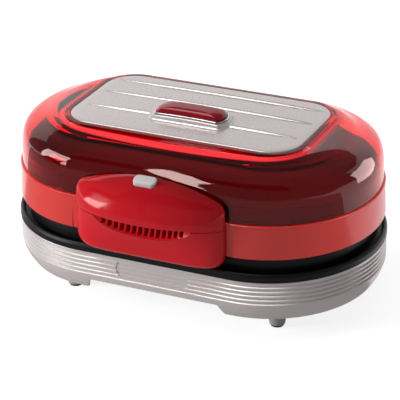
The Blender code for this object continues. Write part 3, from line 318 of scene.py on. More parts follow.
def stackRings(name, rings, closed=False):
    # a circle's edge is extruded ring by ring, and each ring then takes its own outline
    count, last = len(rings[0]), len(rings) - 1
    piece = add(bpy.ops.mesh.primitive_circle_add, name, vertices=count, radius=1, fill_type="NOTHING")
    editMode()
    bpy.ops.mesh.select_mode(type="EDGE")
    selectMesh()
    for ring in rings[1:]:
        bpy.ops.mesh.extrude_edges_move(TRANSFORM_OT_translate={"value": (0, 0, 1)})
    if closed:
        pick(lambda edge: all(round(end.co.z) in (0, last) for end in edge.verts), "EDGE")
        bpy.ops.mesh.bridge_edge_loops()
    else:
        for level in (0, last):
            pick(lambda edge: all(round(end.co.z) == level for end in edge.verts), "EDGE")
            bpy.ops.mesh.edge_face_add()
    objectMode()

    def place(corner):
        turn = (math.atan2(corner.y, corner.x) - math.pi / 2) / (2 * math.pi)
        return rings[round(corner.z)][round(turn * count) % count]

    reshape(piece, place)
    return weldAndTurnOut(piece)


def settle(piece, body, slotName, node, finish=None):
    # the finished piece takes its finish, rides on its body and stands for its CAD node
    piece.data.materials.clear()
    piece.data.materials.append(finish or finishes[slotName])
    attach(piece, body)
    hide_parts(node)


# Small tools for materials

def linear(hexCode):  # sRGB hex to linear colour
    channels = [int(hexCode[start:start + 2], 16) / 255 for start in (0, 2, 4)]
    return [c / 12.92 if c <= 0.04045 else ((c + 0.055) / 1.055) ** 2.4 for c in channels] + [1.0]


def addNode(tree, kind, inputs=None, **settings):
    node = tree.nodes.new(kind)
    for key, value in settings.items():
        setattr(node, key, value)
    for socket, value in (inputs or {}).items():
        if isinstance(value, bpy.types.NodeSocket):
            tree.links.new(value, node.inputs[socket])
        else:
            node.inputs[socket].default_value = value
    return node


def newMaterial(name, **sockets):  # a Principled material with its constant sockets set
    material = bpy.data.materials.new(name)
    material.use_nodes = True
    tree = material.node_tree
    shader = tree.nodes["Principled BSDF"]
    for socket, value in sockets.items():
        shader.inputs[socket.replace("_", " ")].default_value = value
    return material, tree, shader


def grained(name, sizeMm, colours, roughness, bumpMm, detail=3.0, **sockets):
    # one noise drives a slight change of colour, roughness and height
    material, tree, shader = newMaterial(name, **sockets)
    place = addNode(tree, "ShaderNodeTexCoord").outputs["Object"]
    noise = addNode(tree, "ShaderNodeTexNoise", {
        "Vector": place, "Scale": 1000 / sizeMm, "Detail": detail}).outputs["Fac"]
    blend = addNode(tree, "ShaderNodeMix", {
        0: noise, 6: linear(colours[0]), 7: linear(colours[1])}, data_type="RGBA")
    tree.links.new(blend.outputs[2], shader.inputs["Base Color"])
    rough = addNode(tree, "ShaderNodeMapRange", {
        "Value": noise, "To Min": roughness[0], "To Max": roughness[1]})
    tree.links.new(rough.outputs["Result"], shader.inputs["Roughness"])
    bump = addNode(tree, "ShaderNodeBump", {
        "Height": noise, "Distance": bumpMm / 1000, "Strength": 0.6})
    tree.links.new(bump.outputs["Normal"], shader.inputs["Normal"])
    return material


# Materials, each named for what the real one is

def paintedSilverAbs():  # moulded ABS with silver metallic paint: soft sheen, fine flake
    return grained("paintedSilverAbs", 0.6, ("dcd4d3", "e4dcdb"), (0.26, 0.33), 0.012, Metallic=0.4)


def brushedSilverPanel():  # silver film on the top panel: smoother than the base, slightly warm
    return grained("brushedSilverPanel", 0.5, ("c6bdbc", "cfc6c5"), (0.24, 0.31), 0.006, Metallic=0.45)


def greyAbs():  # unpainted grey ABS of feet, button and bottom cover: even, slightly rough from the mould
    return grained("greyAbs", 0.8, ("b6afae", "c0b9b8"), (0.42, 0.52), 0.02)


def blackPhenolic():  # heat-proof black phenolic, compression moulded: dull sheen and faint flow marks
    return grained("blackPhenolic", 1.5, ("060607", "0a0a0b"), (0.34, 0.46), 0.015, Specular_IOR_Level=0.35)


def nonstickAluminium():  # cast aluminium with a sprayed non-stick coat: dark with pale specks
    speck = {"perMm": 0.7, "reach": 0.16, "colour": "8b8b8d"}
    material = grained("nonstickAluminium", 0.5, ("1f1f21", "2b2b2d"), (0.38, 0.5), 0.02, Metallic=0.1)
    tree = material.node_tree
    colour = tree.nodes["Principled BSDF"].inputs["Base Color"]
    place = addNode(tree, "ShaderNodeTexCoord").outputs["Object"]
    specks = addNode(tree, "ShaderNodeTexVoronoi", {"Vector": place, "Scale": 1000 * speck["perMm"]})
    mask = addNode(tree, "ShaderNodeMath", {
        0: specks.outputs["Distance"], 1: speck["reach"]}, operation="LESS_THAN")
    blend = addNode(tree, "ShaderNodeMix", {
        0: mask.outputs[0], 6: colour.links[0].from_socket, 7: linear(speck["colour"])}, data_type="RGBA")
    tree.links.new(blend.outputs[2], colour)
    return material


def zincSteel():  # bright zinc-plated steel of pins, hinge arms, screws and springs
    return grained("zincSteel", 0.7, ("b4b4b6", "c6c6c6"), (0.24, 0.36), 0.006, Metallic=1.0)


def heatTintedSteel():  # heater tube, tinted brown by heat
    return grained("heatTintedSteel", 6.0, ("6b5d52", "8a7c70"), (0.4, 0.55), 0.01, Metallic=1.0)


def steatiteCeramic():  # unglazed steatite of thermostat and terminal block
    return grained("steatiteCeramic", 0.4, ("d8d0c0", "e3dccd"), (0.55, 0.7), 0.02)


def mouldedRubber():  # moulded rubber of pads and cord gland
    return grained("mouldedRubber", 0.4, ("141414", "1d1d1d"), (0.65, 0.8), 0.03)


def glossRedAbs():  # pigmented red ABS from a polished mould: deep gloss with a faint waviness
    return grained("glossRedAbs", 14.0, ("d81c28", "d01a25"), (0.08, 0.12), 0.01, detail=1.0,
                   IOR=1.53, Specular_IOR_Level=0.3)


def coralRedAbs():  # the lid band's lighter, slightly milky red ABS
    return grained("coralRedAbs", 16.0, ("d93a33", "d0332d"), (0.22, 0.3), 0.01, detail=1.0,
                   IOR=1.53, Coat_Weight=0.2, Coat_Roughness=0.06)


def clearRedAcrylic():  # tinted acrylic dome: light is coloured as it goes through the wall
    # a painted highlight: a milky line round the plateau's foot, rising towards both ends, stands in for
    # light gathered there; above it the wall is given painted shade, with duller reflections and a deeper red
    line = {"low": coverFoot + 0.0390, "high": coverFoot + 0.0414, "core": 0.6, "clear": 1.0, "glow": 0.1,
            "blend": 0.0003, "shine": 0.9, "paintedShadeDull": 0.1, "endRise": 0.0025}
    material, tree, shader = newMaterial("clearRedAcrylic", IOR=1.49, Roughness=0.03)
    place = addNode(tree, "ShaderNodeTexCoord").outputs["Object"]
    parts = addNode(tree, "ShaderNodeSeparateXYZ", {0: place}).outputs
    square = addNode(tree, "ShaderNodeMath", {0: parts["X"], 1: parts["X"]}, operation="MULTIPLY").outputs[0]
    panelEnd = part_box("top_panel")[1].x + dome["rim"]
    height = addNode(tree, "ShaderNodeMath", {
        0: square, 1: -line["endRise"] / panelEnd ** 2, 2: parts["Z"]}, operation="MULTIPLY_ADD").outputs[0]
    middle, reach = (line["low"] + line["high"]) / 2, (line["high"] - line["low"]) / 2
    away = addNode(tree, "ShaderNodeMath", {0: height, 1: middle}, operation="SUBTRACT").outputs[0]
    away = addNode(tree, "ShaderNodeMath", {0: away}, operation="ABSOLUTE").outputs[0]
    # painted highlight: the wall lets less light through in the line, so the line shows lit and milky
    clear = addNode(tree, "ShaderNodeMapRange", {
        "Value": away, "From Min": reach * line["core"], "From Max": reach,
        "To Min": line["glow"], "To Max": line["clear"]})
    tree.links.new(clear.outputs["Result"], shader.inputs["Transmission Weight"])
    # painted shade: reflections above the line are turned down
    paintedShadeDull = addNode(tree, "ShaderNodeMapRange", {
        "Value": height, "From Min": line["low"], "From Max": line["low"] + line["blend"],
        "To Min": line["shine"], "To Max": line["paintedShadeDull"]})
    tree.links.new(paintedShadeDull.outputs["Result"], shader.inputs["Specular Tint"])
    # painted shade: the wall above the line is coloured a deeper red
    above = addNode(tree, "ShaderNodeMapRange", {
        "Value": height, "From Min": line["high"], "From Max": line["high"] + line["blend"]})
    paintedShadeTint = addNode(tree, "ShaderNodeMix", {
        0: above.outputs["Result"], 6: linear("fb3a40"), 7: linear("ae141c")}, data_type="RGBA")
    tree.links.new(paintedShadeTint.outputs[2], shader.inputs["Base Color"])
    return material


def deepRedAcrylic():  # deep red domed lens of the badge, left bare
    return grained("deepRedAcrylic", 9.0, ("8e0f1b", "7c0c17"), (0.1, 0.16), 0.006, detail=1.0,
                   IOR=1.49, Specular_IOR_Level=0.3)


def chromedAbs():  # bright chrome plating on ABS: mirror with slight orange peel
    return grained("chromedAbs", 3.0, ("c9c9cc", "d2d2d4"), (0.06, 0.12), 0.004, Metallic=1.0)


finishes = {
    "silver": paintedSilverAbs(), "grey": greyAbs(), "black": blackPhenolic(),
    "nonstick": nonstickAluminium(), "steel": zincSteel(), "heater": heatTintedSteel(),
    "ceramic": steatiteCeramic(), "rubber": mouldedRubber(), "red": glossRedAbs(),
    "band_red": coralRedAbs(), "clear_red": clearRedAcrylic(), "lens_red": deepRedAcrylic(),
    "chrome": chromedAbs()}
# a piece that isn't modelled below shows its CAD solid, in the same finishes
for part in frame["record"]["subparts"]:
    node = frame["nodes"][part["node"]]
    node.data.materials.clear()
    node.data.materials.append(finishes[part["material_slot"]])
print("stage: materials made")


# Camera at the photograph's viewing angle, lens and framing solved from the body's outline

def direction(azimuth, elevation):  # radians from the front, seen from the object
    return Vector((math.sin(azimuth) * math.cos(elevation), -math.cos(azimuth) * math.cos(elevation),
                   math.sin(elevation)))


def placeCamera():
    view = {"azimuth": 0.4340, "elevation": 0.43704, "roll": -0.0134, "distance": 1.6, "aimHeight": 0.07,
            "aside": -0.00122, "raise": -0.00177, "lens": 178.65, "sensor": 36.0, "clip": 0.05}
    back = direction(view["azimuth"], view["elevation"])
    level = Vector((math.cos(view["azimuth"]), math.sin(view["azimuth"]), 0))
    right = Matrix.Rotation(view["roll"], 3, back) @ level
    up = back.cross(right)
    data = bpy.data.cameras.new("camera")
    data.lens = view["lens"]
    data.sensor_width = view["sensor"]
    data.clip_start = view["clip"]
    camera = bpy.data.objects.new("camera", data)
    bpy.context.scene.collection.objects.link(camera)
    place = Vector((0, centreY, view["aimHeight"])) + back * view["distance"]
    place += right * view["aside"] + up * view["raise"]
    camera.matrix_world = Matrix.Translation(place) @ Matrix((right, up, back)).transposed().to_4x4()
    bpy.context.scene.camera = camera


# Studio: lamps, glowing cards and dark flags, none of them part of the object

studioAim = Vector((0, centreY, 0.09))


def studioPlace(azimuth, elevation, distance=1.2):  # degrees from the front
    return direction(math.radians(azimuth), math.radians(elevation)) * distance


def addLamp(name, place, size, power, shines=True):
    data = bpy.data.lights.new(name, "AREA")
    data.shape = "RECTANGLE"
    data.size, data.size_y = size
    data.energy = power
    lamp = bpy.data.objects.new(name, data)
    bpy.context.scene.collection.objects.link(lamp)
    lamp.location = place
    lamp.rotation_mode = "QUATERNION"
    lamp.rotation_quaternion = (studioAim - place).to_track_quat("-Z", "Y")
    lamp.visible_glossy = lamp.visible_transmission = shines


def onlyReflected(piece, strength, colour="ffffff"):  # a glowing or dark surface that only reflections see
    material = bpy.data.materials.new(piece.name)
    material.use_nodes = True
    tree = material.node_tree
    glow = addNode(tree, "ShaderNodeEmission", {"Strength": strength, "Color": linear(colour)})
    tree.links.new(glow.outputs[0], tree.nodes["Material Output"].inputs["Surface"])
    piece.data.materials.append(material)
    for ray in ("camera", "diffuse", "transmission", "shadow"):
        setattr(piece, "visible_" + ray, False)


def addCard(name, strength, corners, colour="ffdcd9"):
    card = add(bpy.ops.mesh.primitive_plane_add, name, size=2)
    order = [(-1, -1), (1, -1), (1, 1), (-1, 1)]
    reshape(card, lambda p: Vector(corners[order.index((round(p.x), round(p.y)))]))
    onlyReflected(card, strength, colour)


def linkLight(source, pieces, state="INCLUDE"):  # a lamp or card reaches these pieces, or all but them
    reached = bpy.data.collections.new(source + "Reach")
    for piece in pieces:
        reached.objects.link(bpy.data.objects[piece])
    for member in reached.collection_objects:
        member.light_linking.link_state = state
    bpy.data.objects[source].light_linking.receiver_collection = reached


def addFlags():  # dark cloth over the front, the top and the floor, open towards the pale wall behind
    size = {"radius": 1.45, "openBelow": 0.62, "left": -100, "right": 116, "low": -0.10, "glow": 0.15,
            "floorLift": 0.0005, "floorGlow": 0.34}
    flags = add(bpy.ops.mesh.primitive_uv_sphere_add, "flagDome", segments=96, ring_count=48,
                radius=size["radius"])

    def outside(face):
        spot = face.calc_center_median() / size["radius"]
        turn = math.degrees(math.atan2(spot.x, -spot.y))
        return spot.z < size["low"] or spot.z < size["openBelow"] and not size["left"] < turn < size["right"]

    editMode()
    pick(outside, "FACE")
    bpy.ops.mesh.delete(type="FACE")
    selectMesh()
    bpy.ops.transform.translate(value=studioAim)
    objectMode()
    onlyReflected(flags, size["glow"])
    corners = ((-1.40, -1.50), (1.60, -1.50), (0.55, 0.02), (-0.80, 0.05))
    addCard("flagFloor", size["floorGlow"], [(x, y, size["floorLift"]) for x, y in corners], "ffffff")


def seenRays(tree):  # 1 for the rays that should meet a white background
    light = addNode(tree, "ShaderNodeLightPath").outputs
    seen = addNode(tree, "ShaderNodeMath", {
        0: light["Is Camera Ray"], 1: light["Is Transmission Ray"]}, operation="MAXIMUM")
    return addNode(tree, "ShaderNodeMath", {
        0: seen.outputs[0], 1: light["Is Glossy Ray"]}, operation="MAXIMUM").outputs[0]


def makeStage():
    size = {"floorHalf": 3.0, "drop": 0.0002, "floorGlow": 0.82, "fill": 0.26}
    floor = add(bpy.ops.mesh.primitive_plane_add, "studioFloor", size=size["floorHalf"] * 2,
                location=(0, 0, -size["drop"]))
    material, tree, shader = newMaterial("paleFloor", Roughness=0.9, Specular_IOR_Level=0.1,
                                         Base_Color=linear("c4c4c4"), Emission_Color=linear("ffffff"))
    glow = addNode(tree, "ShaderNodeMapRange", {"Value": seenRays(tree), "To Max": size["floorGlow"]})
    tree.links.new(glow.outputs["Result"], shader.inputs["Emission Strength"])
    floor.data.materials.append(material)
    world = bpy.data.worlds.new("studio")
    bpy.context.scene.world = world
    world.use_nodes = True
    tree = world.node_tree
    background = tree.nodes["Background"].inputs
    strength = addNode(tree, "ShaderNodeMapRange", {
        "Value": seenRays(tree), "To Min": size["fill"], "To Max": 1.0})
    background["Color"].default_value = (1, 1, 1, 1)
    tree.links.new(strength.outputs["Result"], background["Strength"])
    addLamp("softboxTop", studioPlace(-60, 68), (0.7, 0.5), 7)
    addLamp("softboxLeft", studioPlace(-54, 15), (0.4, 0.4), 9)
    addLamp("softboxRim", studioPlace(-10, 58), (0.5, 0.5), 9, shines=False)
    addLamp("softboxRight", studioPlace(98, 28), (0.4, 0.4), 6)
    # each card hangs where a highlight on the red pieces or the ribs needs it; two share an edge
    foldLow, foldHigh = (-0.340, -0.981, 0.359), (-0.343, -0.542, 0.933)
    addCard("cardLeft", 11, [(-1.07, -0.28, 0.02), (-0.72, -0.85, 0.06), (-0.62, -0.71, 0.66),
                             (-0.94, -0.27, 0.60)])
    addCard("cardMiddle", 15, [(-0.366, -0.843, 0.648), foldLow, foldHigh, (-0.375, -0.300, 1.010)])
    addCard("cardLower", 15, [foldLow, (-0.312, -1.017, 0.090), (-0.306, -0.835, 0.680), foldHigh])
    addCard("cardRight", 8, [(0.527, 0.198, 0.025), (0.377, 0.366, 0.017), (0.300, 0.342, 0.364),
                             (0.529, 0.151, 0.281)])
    addCard("cardHandle", 12, [(-0.490, -0.181, 0.063), (-0.405, -0.357, 0.070), (-0.348, -0.406, 0.208),
                               (-0.473, -0.236, 0.143)])
    addCard("cardRibs", 2.6, [(-1.10, -0.90, 0.80), (1.10, -0.90, 0.80), (0.90, -0.50, 1.35),
                              (-0.90, -0.50, 1.35)], "ffffff")
    addFlags()


placeCamera()
makeStage()
bpy.context.scene.view_settings.view_transform = "Standard"
print("stage: camera and studio set")


# Base

def makeBaseShell():
    size = {"firstGroove": 0.0035, "groovePitch": 0.0036, "grooves": 5, "grooveDepth": 0.0014,
            "grooveHalf": 0.0011, "tuck": 0.0073, "kneeDrop": 0.62, "kneeTuck": 0.47, "ledgeTuck": 0.35,
            "flange": 0.0025, "flangeWidth": 0.0181, "ledge": 0.0020, "cutTop": 0.0550, "cutBottom": 0.0600,
            "cutRise": 0.0098, "cutIn": 0.0060, "cutRound": 0.0012, "labelHalf": 0.0285,
            "labelBulge": 0.0025, "labelLow": 0.0185, "labelHigh": 0.0318, "labelDepth": 0.0012,
            "labelSteps": 11, "glandHole": 0.0055, "glandDepth": 0.0200}
    top, foot = shellHigh.z, shellLow.z
    outline = [(shellHalf, top, 0.0005)]
    for index in range(size["grooves"]):
        middle = top - size["firstGroove"] - size["groovePitch"] * index
        outline += [
            (shellHalf, middle + size["grooveHalf"], eased),
            (shellHalf - size["grooveDepth"], middle, fine),
            (shellHalf, middle - size["grooveHalf"], eased)]
    fallTop = middle - size["groovePitch"] / 2
    fall = fallTop - foot
    # how far the skirt has come down and in, as shares, and the corner there
    skirt = ((0.0, 0.0, 0.002), (0.30, 0.17, 0.006), (size["kneeDrop"], size["kneeTuck"], 0.006),
             (1.0, 1.0, 0.0008))
    outline += [(shellHalf - size["tuck"] * tuck, fallTop - fall * drop, radius)
                for drop, tuck, radius in skirt]
    inner = shellHalf - seat["wall"]
    rim = inner - size["grooveDepth"]
    ledgeIn, ledgeLow = inner - seat["width"], foot + seat["rise"]
    ledgeHigh, flangeLow = ledgeLow + size["ledge"], top - size["flange"]
    outline += [
        (inner - size["tuck"], foot, soft),
        (inner - size["tuck"] * size["kneeTuck"], foot + fall * (1 - size["kneeDrop"]), 0),
        (inner - size["tuck"] * size["ledgeTuck"], ledgeLow, 0), (ledgeIn, ledgeLow, eased),
        (ledgeIn, ledgeHigh, eased), (rim, ledgeHigh + seat["wall"], 0), (rim, flangeLow, 0),
        (shellHalf - size["flangeWidth"], flangeLow, 0), (shellHalf - size["flangeWidth"], top, 0)]
    shell = sweepBody("baseShell", outline)
    front = centreY - shellHalf - 2 * over
    cutDepth = size["tuck"] + seat["wall"] + size["cutIn"]
    cut = block("skirtCut", (-size["cutBottom"], front, foot - 2 * over),
                (size["cutBottom"], front + cutDepth, foot + size["cutRise"]))
    slope = size["cutBottom"] - size["cutTop"]
    reshape(cut, lambda p: Vector((p.x - math.copysign(slope, p.x) if p.z > foot else p.x, p.y, p.z)))
    roundEdges(cut, size["cutRound"], 4)
    carve(shell, cut)
    low, high = foot + size["labelLow"], foot + size["labelHigh"]
    label = block("labelCut", (-size["labelHalf"], front, low),
                  (size["labelHalf"], centreY - shellHalf + size["labelDepth"], high))
    makeActive(label)
    editMode()
    pick(lambda edge: abs(edge.verts[0].co.z - edge.verts[1].co.z) > gap, "EDGE")
    bpy.ops.mesh.subdivide(number_cuts=size["labelSteps"])
    objectMode()

    def bulge(p):
        out = size["labelBulge"] * math.sin(math.pi * (p.z - low) / (high - low))
        return Vector((p.x + math.copysign(out, p.x), p.y, p.z))

    reshape(label, bulge)
    carve(shell, label)
    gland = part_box("cord_gland")
    spot = (0, centreY + shellHalf, (gland[0].z + gland[1].z) / 2)
    carve(shell, rod("glandHole", size["glandHole"], size["glandDepth"], spot, "Y", 48))
    settle(smooth(shell, 28), "base", "silver", "base_shell")


def makeCollar():  # its moat lies in shares of the collar's width and height
    width = collarHalf - housingHalf - gap
    foot, rise = collarLow.z, collarHigh.z - collarLow.z
    shares = ((0.00, 0.00, 0), (0.00, 0.62, broad), (0.10, 0.94, 0.0012), (0.27, 1.00, 0.0012),
              (0.42, 0.86, broad), (0.50, 0.36, 0.0008), (1.00, 0.36, 0), (1.00, 0.00, 0))
    outline = [(collarHalf - width * inward, foot + rise * up, radius) for inward, up, radius in shares]
    settle(smooth(sweepBody("collar", outline)), "base", "black", "base_collar")


housing = {"lip": 0.0030, "wall": 0.0063, "step": 0.0028}


def makeHousing():
    top, foot = housingHigh.z, housingLow.z
    lip, inner, step = housingHalf - housing["lip"], housingHalf - housing["wall"], top - housing["step"]
    outline = [(housingHalf, foot, 0), (housingHalf, top, soft), (lip, top, crisp), (lip, step, 0),
               (inner, step, 0), (inner, foot, 0)]
    settle(smooth(sweepBody("housing", outline)), "base", "black", "lower_housing")


def makeFeet():  # a foot tapers from its root to its tip, in shares of both
    size = {"root": 0.0100, "tip": 0.0062, "padFoot": 0.94, "steps": 40}
    shares = ((None, 1.0, 0), (1.0, 1.0, 0), (0.94, 0.80, 0.004), (0.70, 0.40, 0.006), (0.14, 0.12, 0.002),
              (0.0, 0.0, eased), (None, 0.0, 0))
    for row in ("front", "rear"):
        for side in ("left", "right"):
            low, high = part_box("foot_" + row + "_" + side)
            spot = Vector(((low.x + high.x) / 2, (low.y + high.y) / 2, 0))
            outline = []
            for wide, up, radius in shares:
                across = 0 if wide is None else size["tip"] + (size["root"] - size["tip"]) * wide
                outline.append((across, low.z + (high.z - low.z) * up, radius))
            foot = spinRound("foot" + row.title() + side.title(), outline, spot, size["steps"])
            settle(smooth(foot), "base", "grey", "foot_" + row + "_" + side)
            low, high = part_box("foot_pad_" + row + "_" + side)
            radius = (high.x - low.x) / 2
            outline = [(0, high.z, 0), (radius, high.z, crisp), (radius * size["padFoot"], low.z, crisp),
                       (0, low.z, 0)]
            pad = spinRound("pad" + row.title() + side.title(), outline, spot, size["steps"])
            settle(smooth(pad), "base", "rubber", "foot_pad_" + row + "_" + side)


plates = {"thick": 0.0025, "cupSpacing": 0.1300, "cupRadius": 0.0575, "draft": 0.0030, "cupWall": 0.0025,
          "outerCorner": 0.0040, "innerCorner": 0.0030, "lowerDepth": 0.0120, "upperDepth": 0.0070,
          "rimLap": 0.0035}


def turnedCup(name, near, far, nearZ, farZ, x, corner):
    outline = [(0, nearZ, 0), (near, nearZ, 0), (far, farZ, corner), (0, farZ, 0)]
    return spinRound(name, outline, (x, centreY, 0), 96, arcSteps=6)


def makePlate(name, outline, faceZ, depth, slab, body, node):
    # a flat slab with two round cups, which are added below or above it and hollowed
    plate = sweepBody(name, outline, closed=False)
    away = math.copysign(1, depth)
    wall, slope, radius = plates["cupWall"], plates["draft"], plates["cupRadius"]
    for side in (-1, 1):
        x = side * plates["cupSpacing"] / 2
        outside = turnedCup("cupOutside", radius + wall, radius + wall - slope, faceZ + slab / 2 * away,
                            faceZ + depth + wall * away, x, plates["outerCorner"])
        carve(plate, outside, "UNION")
        inside = turnedCup("cupInside", radius + slope * over / abs(depth), radius - slope,
                           faceZ - over * away, faceZ + depth, x, plates["innerCorner"])
        carve(plate, inside)
    settle(smooth(plate), body, "nonstick", node)


def makeLowerPlate():
    width, top = housingHalf - housing["lip"] - gap, housingHigh.z
    low = top - plates["thick"]
    outline = [(0, top, 0), (width, top, eased), (width, low, 0), (0, low, 0)]
    makePlate("lowerPlate", outline, top, -plates["lowerDepth"], plates["thick"], "base", "lower_plate")


def makeBottomCover():
    size = {"lap": 0.0017, "thick": 0.0022, "screwX": 0.0600, "screwInset": 0.0106, "hole": 0.0080}
    width = shellHalf - seat["wall"] - seat["width"] + size["lap"]
    top = shellLow.z + seat["rise"] - gap
    low = top - size["thick"]
    outline = [(0, top, 0), (width, top, crisp), (width, low, soft), (0, low, 0)]
    cover = sweepBody("bottomCover", outline, closed=False)
    for side in (-1, 1):
        for row in (-1, 1):
            spot = (side * size["screwX"], centreY + row * (shellHalf - size["screwInset"]), low)
            carve(cover, rod("coverHole", screw["radius"] + gap, size["hole"], spot, corners=24))
    settle(smooth(cover), "base", "grey", "bottom_cover")


def makeHinges():
    size = {"out": 0.0077, "ear": 0.0060, "eye": 0.0050, "armWidth": 0.0100, "earWidth": 0.0060,
            "pin": 0.0020, "play": 0.0003, "head": 0.0034, "headThick": 0.0012, "armHigh": 0.0175,
            "armThick": 0.0030, "relief": 0.0040, "aside": 0.0500, "slotReach": 0.0080,
            "bracketEdge": 0.0004, "armEdge": 0.0003}
    back, up, thick = bodyHalf + size["out"], bandLow, size["headThick"]
    footZ, footY = collarHigh.z + gap, housingHalf + gap
    bracket = [(footY, footZ, eased), (back + size["ear"] / 2, footZ, broad),
               (back + size["ear"], footZ + size["relief"], broad)]
    bracket += turnPoints((back, up), size["ear"], 0, 180)
    bracket += [(back - size["ear"], up - thick, 0), (footY, up - thick, 0)]
    near, high = bodyHalf + band["draft"] + gap, up + size["armHigh"]
    far = near + size["armThick"]
    arm = turnPoints((back, up), size["eye"], -180, 45)
    arm += [(far, high - size["eye"], broad), (far, high, 0.0008), (near, high, 0), (near, up + thick, 0)]
    slot = size["armWidth"] + 2 * gap
    clevis = slot + 2 * size["earWidth"]
    end = clevis / 2 + gap
    pinLine = [(0, end + thick, 0), (size["pin"], end + thick, crisp), (size["pin"], -end, 0),
               (size["head"], -end, fine), (size["head"], -end - thick, 0.0005), (0, -end - thick, 0)]
    for word, side in (("right", 1), ("left", -1)):
        middle = side * size["aside"]
        axis = (middle, centreY + back, up)
        holder = sidePlate("hingeBracket" + word.title(), bracket, middle, clevis)
        slotLow = (middle - slot / 2, axis[1] - size["slotReach"], up - size["eye"] - 2 * gap)
        carve(holder, block("hingeSlot", slotLow, (middle + slot / 2, axis[1] + size["slotReach"], bandTop)))
        carve(holder, rod("bracketBore", size["pin"] + size["play"], clevis + 4 * over, axis, "X"))
        settle(smooth(roundEdges(holder, size["bracketEdge"])), "base", "black", "hinge_bracket_" + word)
        strap = sidePlate("hingeArm" + word.title(), arm, middle, size["armWidth"])
        carve(strap, rod("armBore", size["pin"] + size["play"], clevis, axis, "X"))
        settle(smooth(roundEdges(strap, size["armEdge"])), "lid", "steel", "hinge_arm_" + word)
        pin = spinRound("hingePin" + word.title(), pinLine, axis, 32, (1, 0, 0))
        settle(smooth(pin), "base", "steel", "hinge_pin_" + word)


def makeGland():
    size = {"flange": 0.0075, "thick": 0.0024, "neck": 0.0052, "neckLong": 0.0050, "sleeve": 0.0060,
            "tip": 0.0050, "sleeveLong": 0.0064, "bore": 0.0036, "grooves": 3, "grooveHalf": 0.0004,
            "grooveDepth": 0.0007}
    thick = size["thick"]
    out = thick + size["sleeveLong"]
    outline = [(size["bore"], out, eased), (size["tip"], out, 0.0005)]
    for index in range(size["grooves"]):  # the sleeve flexes at them
        share = (index + 1) / (size["grooves"] + 1)
        height = out - size["sleeveLong"] * share
        across = size["tip"] + (size["sleeve"] - size["tip"]) * share
        outline += [(across, height + size["grooveHalf"], fine),
                    (across - size["grooveDepth"], height, fine),
                    (across, height - size["grooveHalf"], fine)]
    outline += [(size["sleeve"], thick, crisp), (size["flange"], thick, 0.0007), (size["flange"], 0, fine),
                (size["neck"], 0, 0), (size["neck"], -size["neckLong"], crisp),
                (size["bore"], -size["neckLong"], 0)]
    low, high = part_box("cord_gland")
    place = Vector((0, centreY + shellHalf + gap, (low.z + high.z) / 2))
    gland = spinRound("cordGland", outline, place, axis=(0, 1, 0), closed=True)
    settle(smooth(gland), "base", "rubber", "cord_gland")


makeBaseShell()
makeCollar()
makeHousing()
makeLowerPlate()
makeBottomCover()
makeFeet()
makeHinges()
makeGland()
print("stage: base made")


# Lid

def makeBand():
    size = {"wall": 0.0025, "lip": 0.0004, "lipHeight": 0.0014, "topThick": 0.0030, "padHalf": 0.0680,
            "padDepth": 0.0008, "padCorner": 0.0060, "padMargin": 0.0034, "padBelow": 0.0100,
            "padTool": 0.0040, "lipBevel": 0.25, "lugDrop": 0.0127, "lugRadius": 0.0045, "lugWidth": 0.0035,
            "slot": 0.0086, "screwHole": 0.0120}
    lowHalf, lip = bodyHalf + band["draft"], bodyHalf + size["lip"]
    wall, tall, bevel = size["wall"], size["lipHeight"], size["lipHeight"] * size["lipBevel"]
    topIn, underTop = bodyHalf - band["topWidth"], bandTop - size["topThick"]
    flangeIn, flangeTop = lowHalf - band["flangeWidth"], bandLow + band["flange"]
    outline = [
        (lowHalf, bandLow, soft), (bodyHalf, bandTop - tall, fine), (lip, bandTop - tall + bevel, fine),
        (lip, bandTop - bevel, crisp), (bodyHalf, bandTop, fine), (topIn, bandTop, 0), (topIn, underTop, 0),
        (bodyHalf - wall, underTop - over, 0), (lowHalf - wall, flangeTop, 0),
        (flangeIn, flangeTop, crisp), (flangeIn, bandLow, crisp)]
    ring = sweepBody("lidBand", outline)
    low, high = bandLow - size["padBelow"], bandTop - size["padMargin"]
    pad = roundedSlab("padCut", (size["padHalf"], (high - low) / 2), size["padCorner"], 0, size["padTool"])
    depth = centreY - lowHalf + size["padDepth"]
    reshape(pad, lambda p: Vector((p.x, depth - p.z, (low + high) / 2 + p.y)))
    carve(ring, pad)
    back, up, aside = coverAxis
    inner = bodyHalf - wall / 2
    outline = [(inner, up - size["lugDrop"] - wall, 0), (bodyHalf + wall, up - size["lugDrop"] + wall, 0)]
    outline += turnPoints((back, up), size["lugRadius"], -35, 180)
    outline += [(back - size["lugRadius"], bandTop - tall / 2, 0), (inner, bandTop - tall, 0)]
    for side in (-1, 1):
        for hand in (-1, 1):
            middle = side * aside + hand * (size["slot"] + size["lugWidth"]) / 2
            carve(ring, sidePlate("coverLug", outline, middle, size["lugWidth"]), "UNION")
        spot = (side * aside, centreY + back, up)
        carve(ring, rod("lugBore", coverPin["radius"] + gap, coverPin["bore"], spot, "X"))
        spot = (side * handle["screwX"], centreY - lowHalf, bandTop - handle["screwDrop"])
        carve(ring, rod("bandHole", screw["radius"] + gap, size["screwHole"], spot, "Y"))
    settle(smooth(ring), "lid", "band_red", "lid_band")


def makeUpperPlate():
    face = bandLow + gap
    step = face + band["flange"]
    inner = bodyHalf + band["draft"] - band["flangeWidth"] - gap
    width, top = inner + plates["rimLap"], step + plates["thick"]
    outline = [(0, top, 0), (width, top, 0), (width, step, 0), (inner, step, 0), (inner, face, eased),
               (0, face, 0)]
    makePlate("upperPlate", outline, face, plates["upperDepth"], top - face, "lid", "upper_plate")


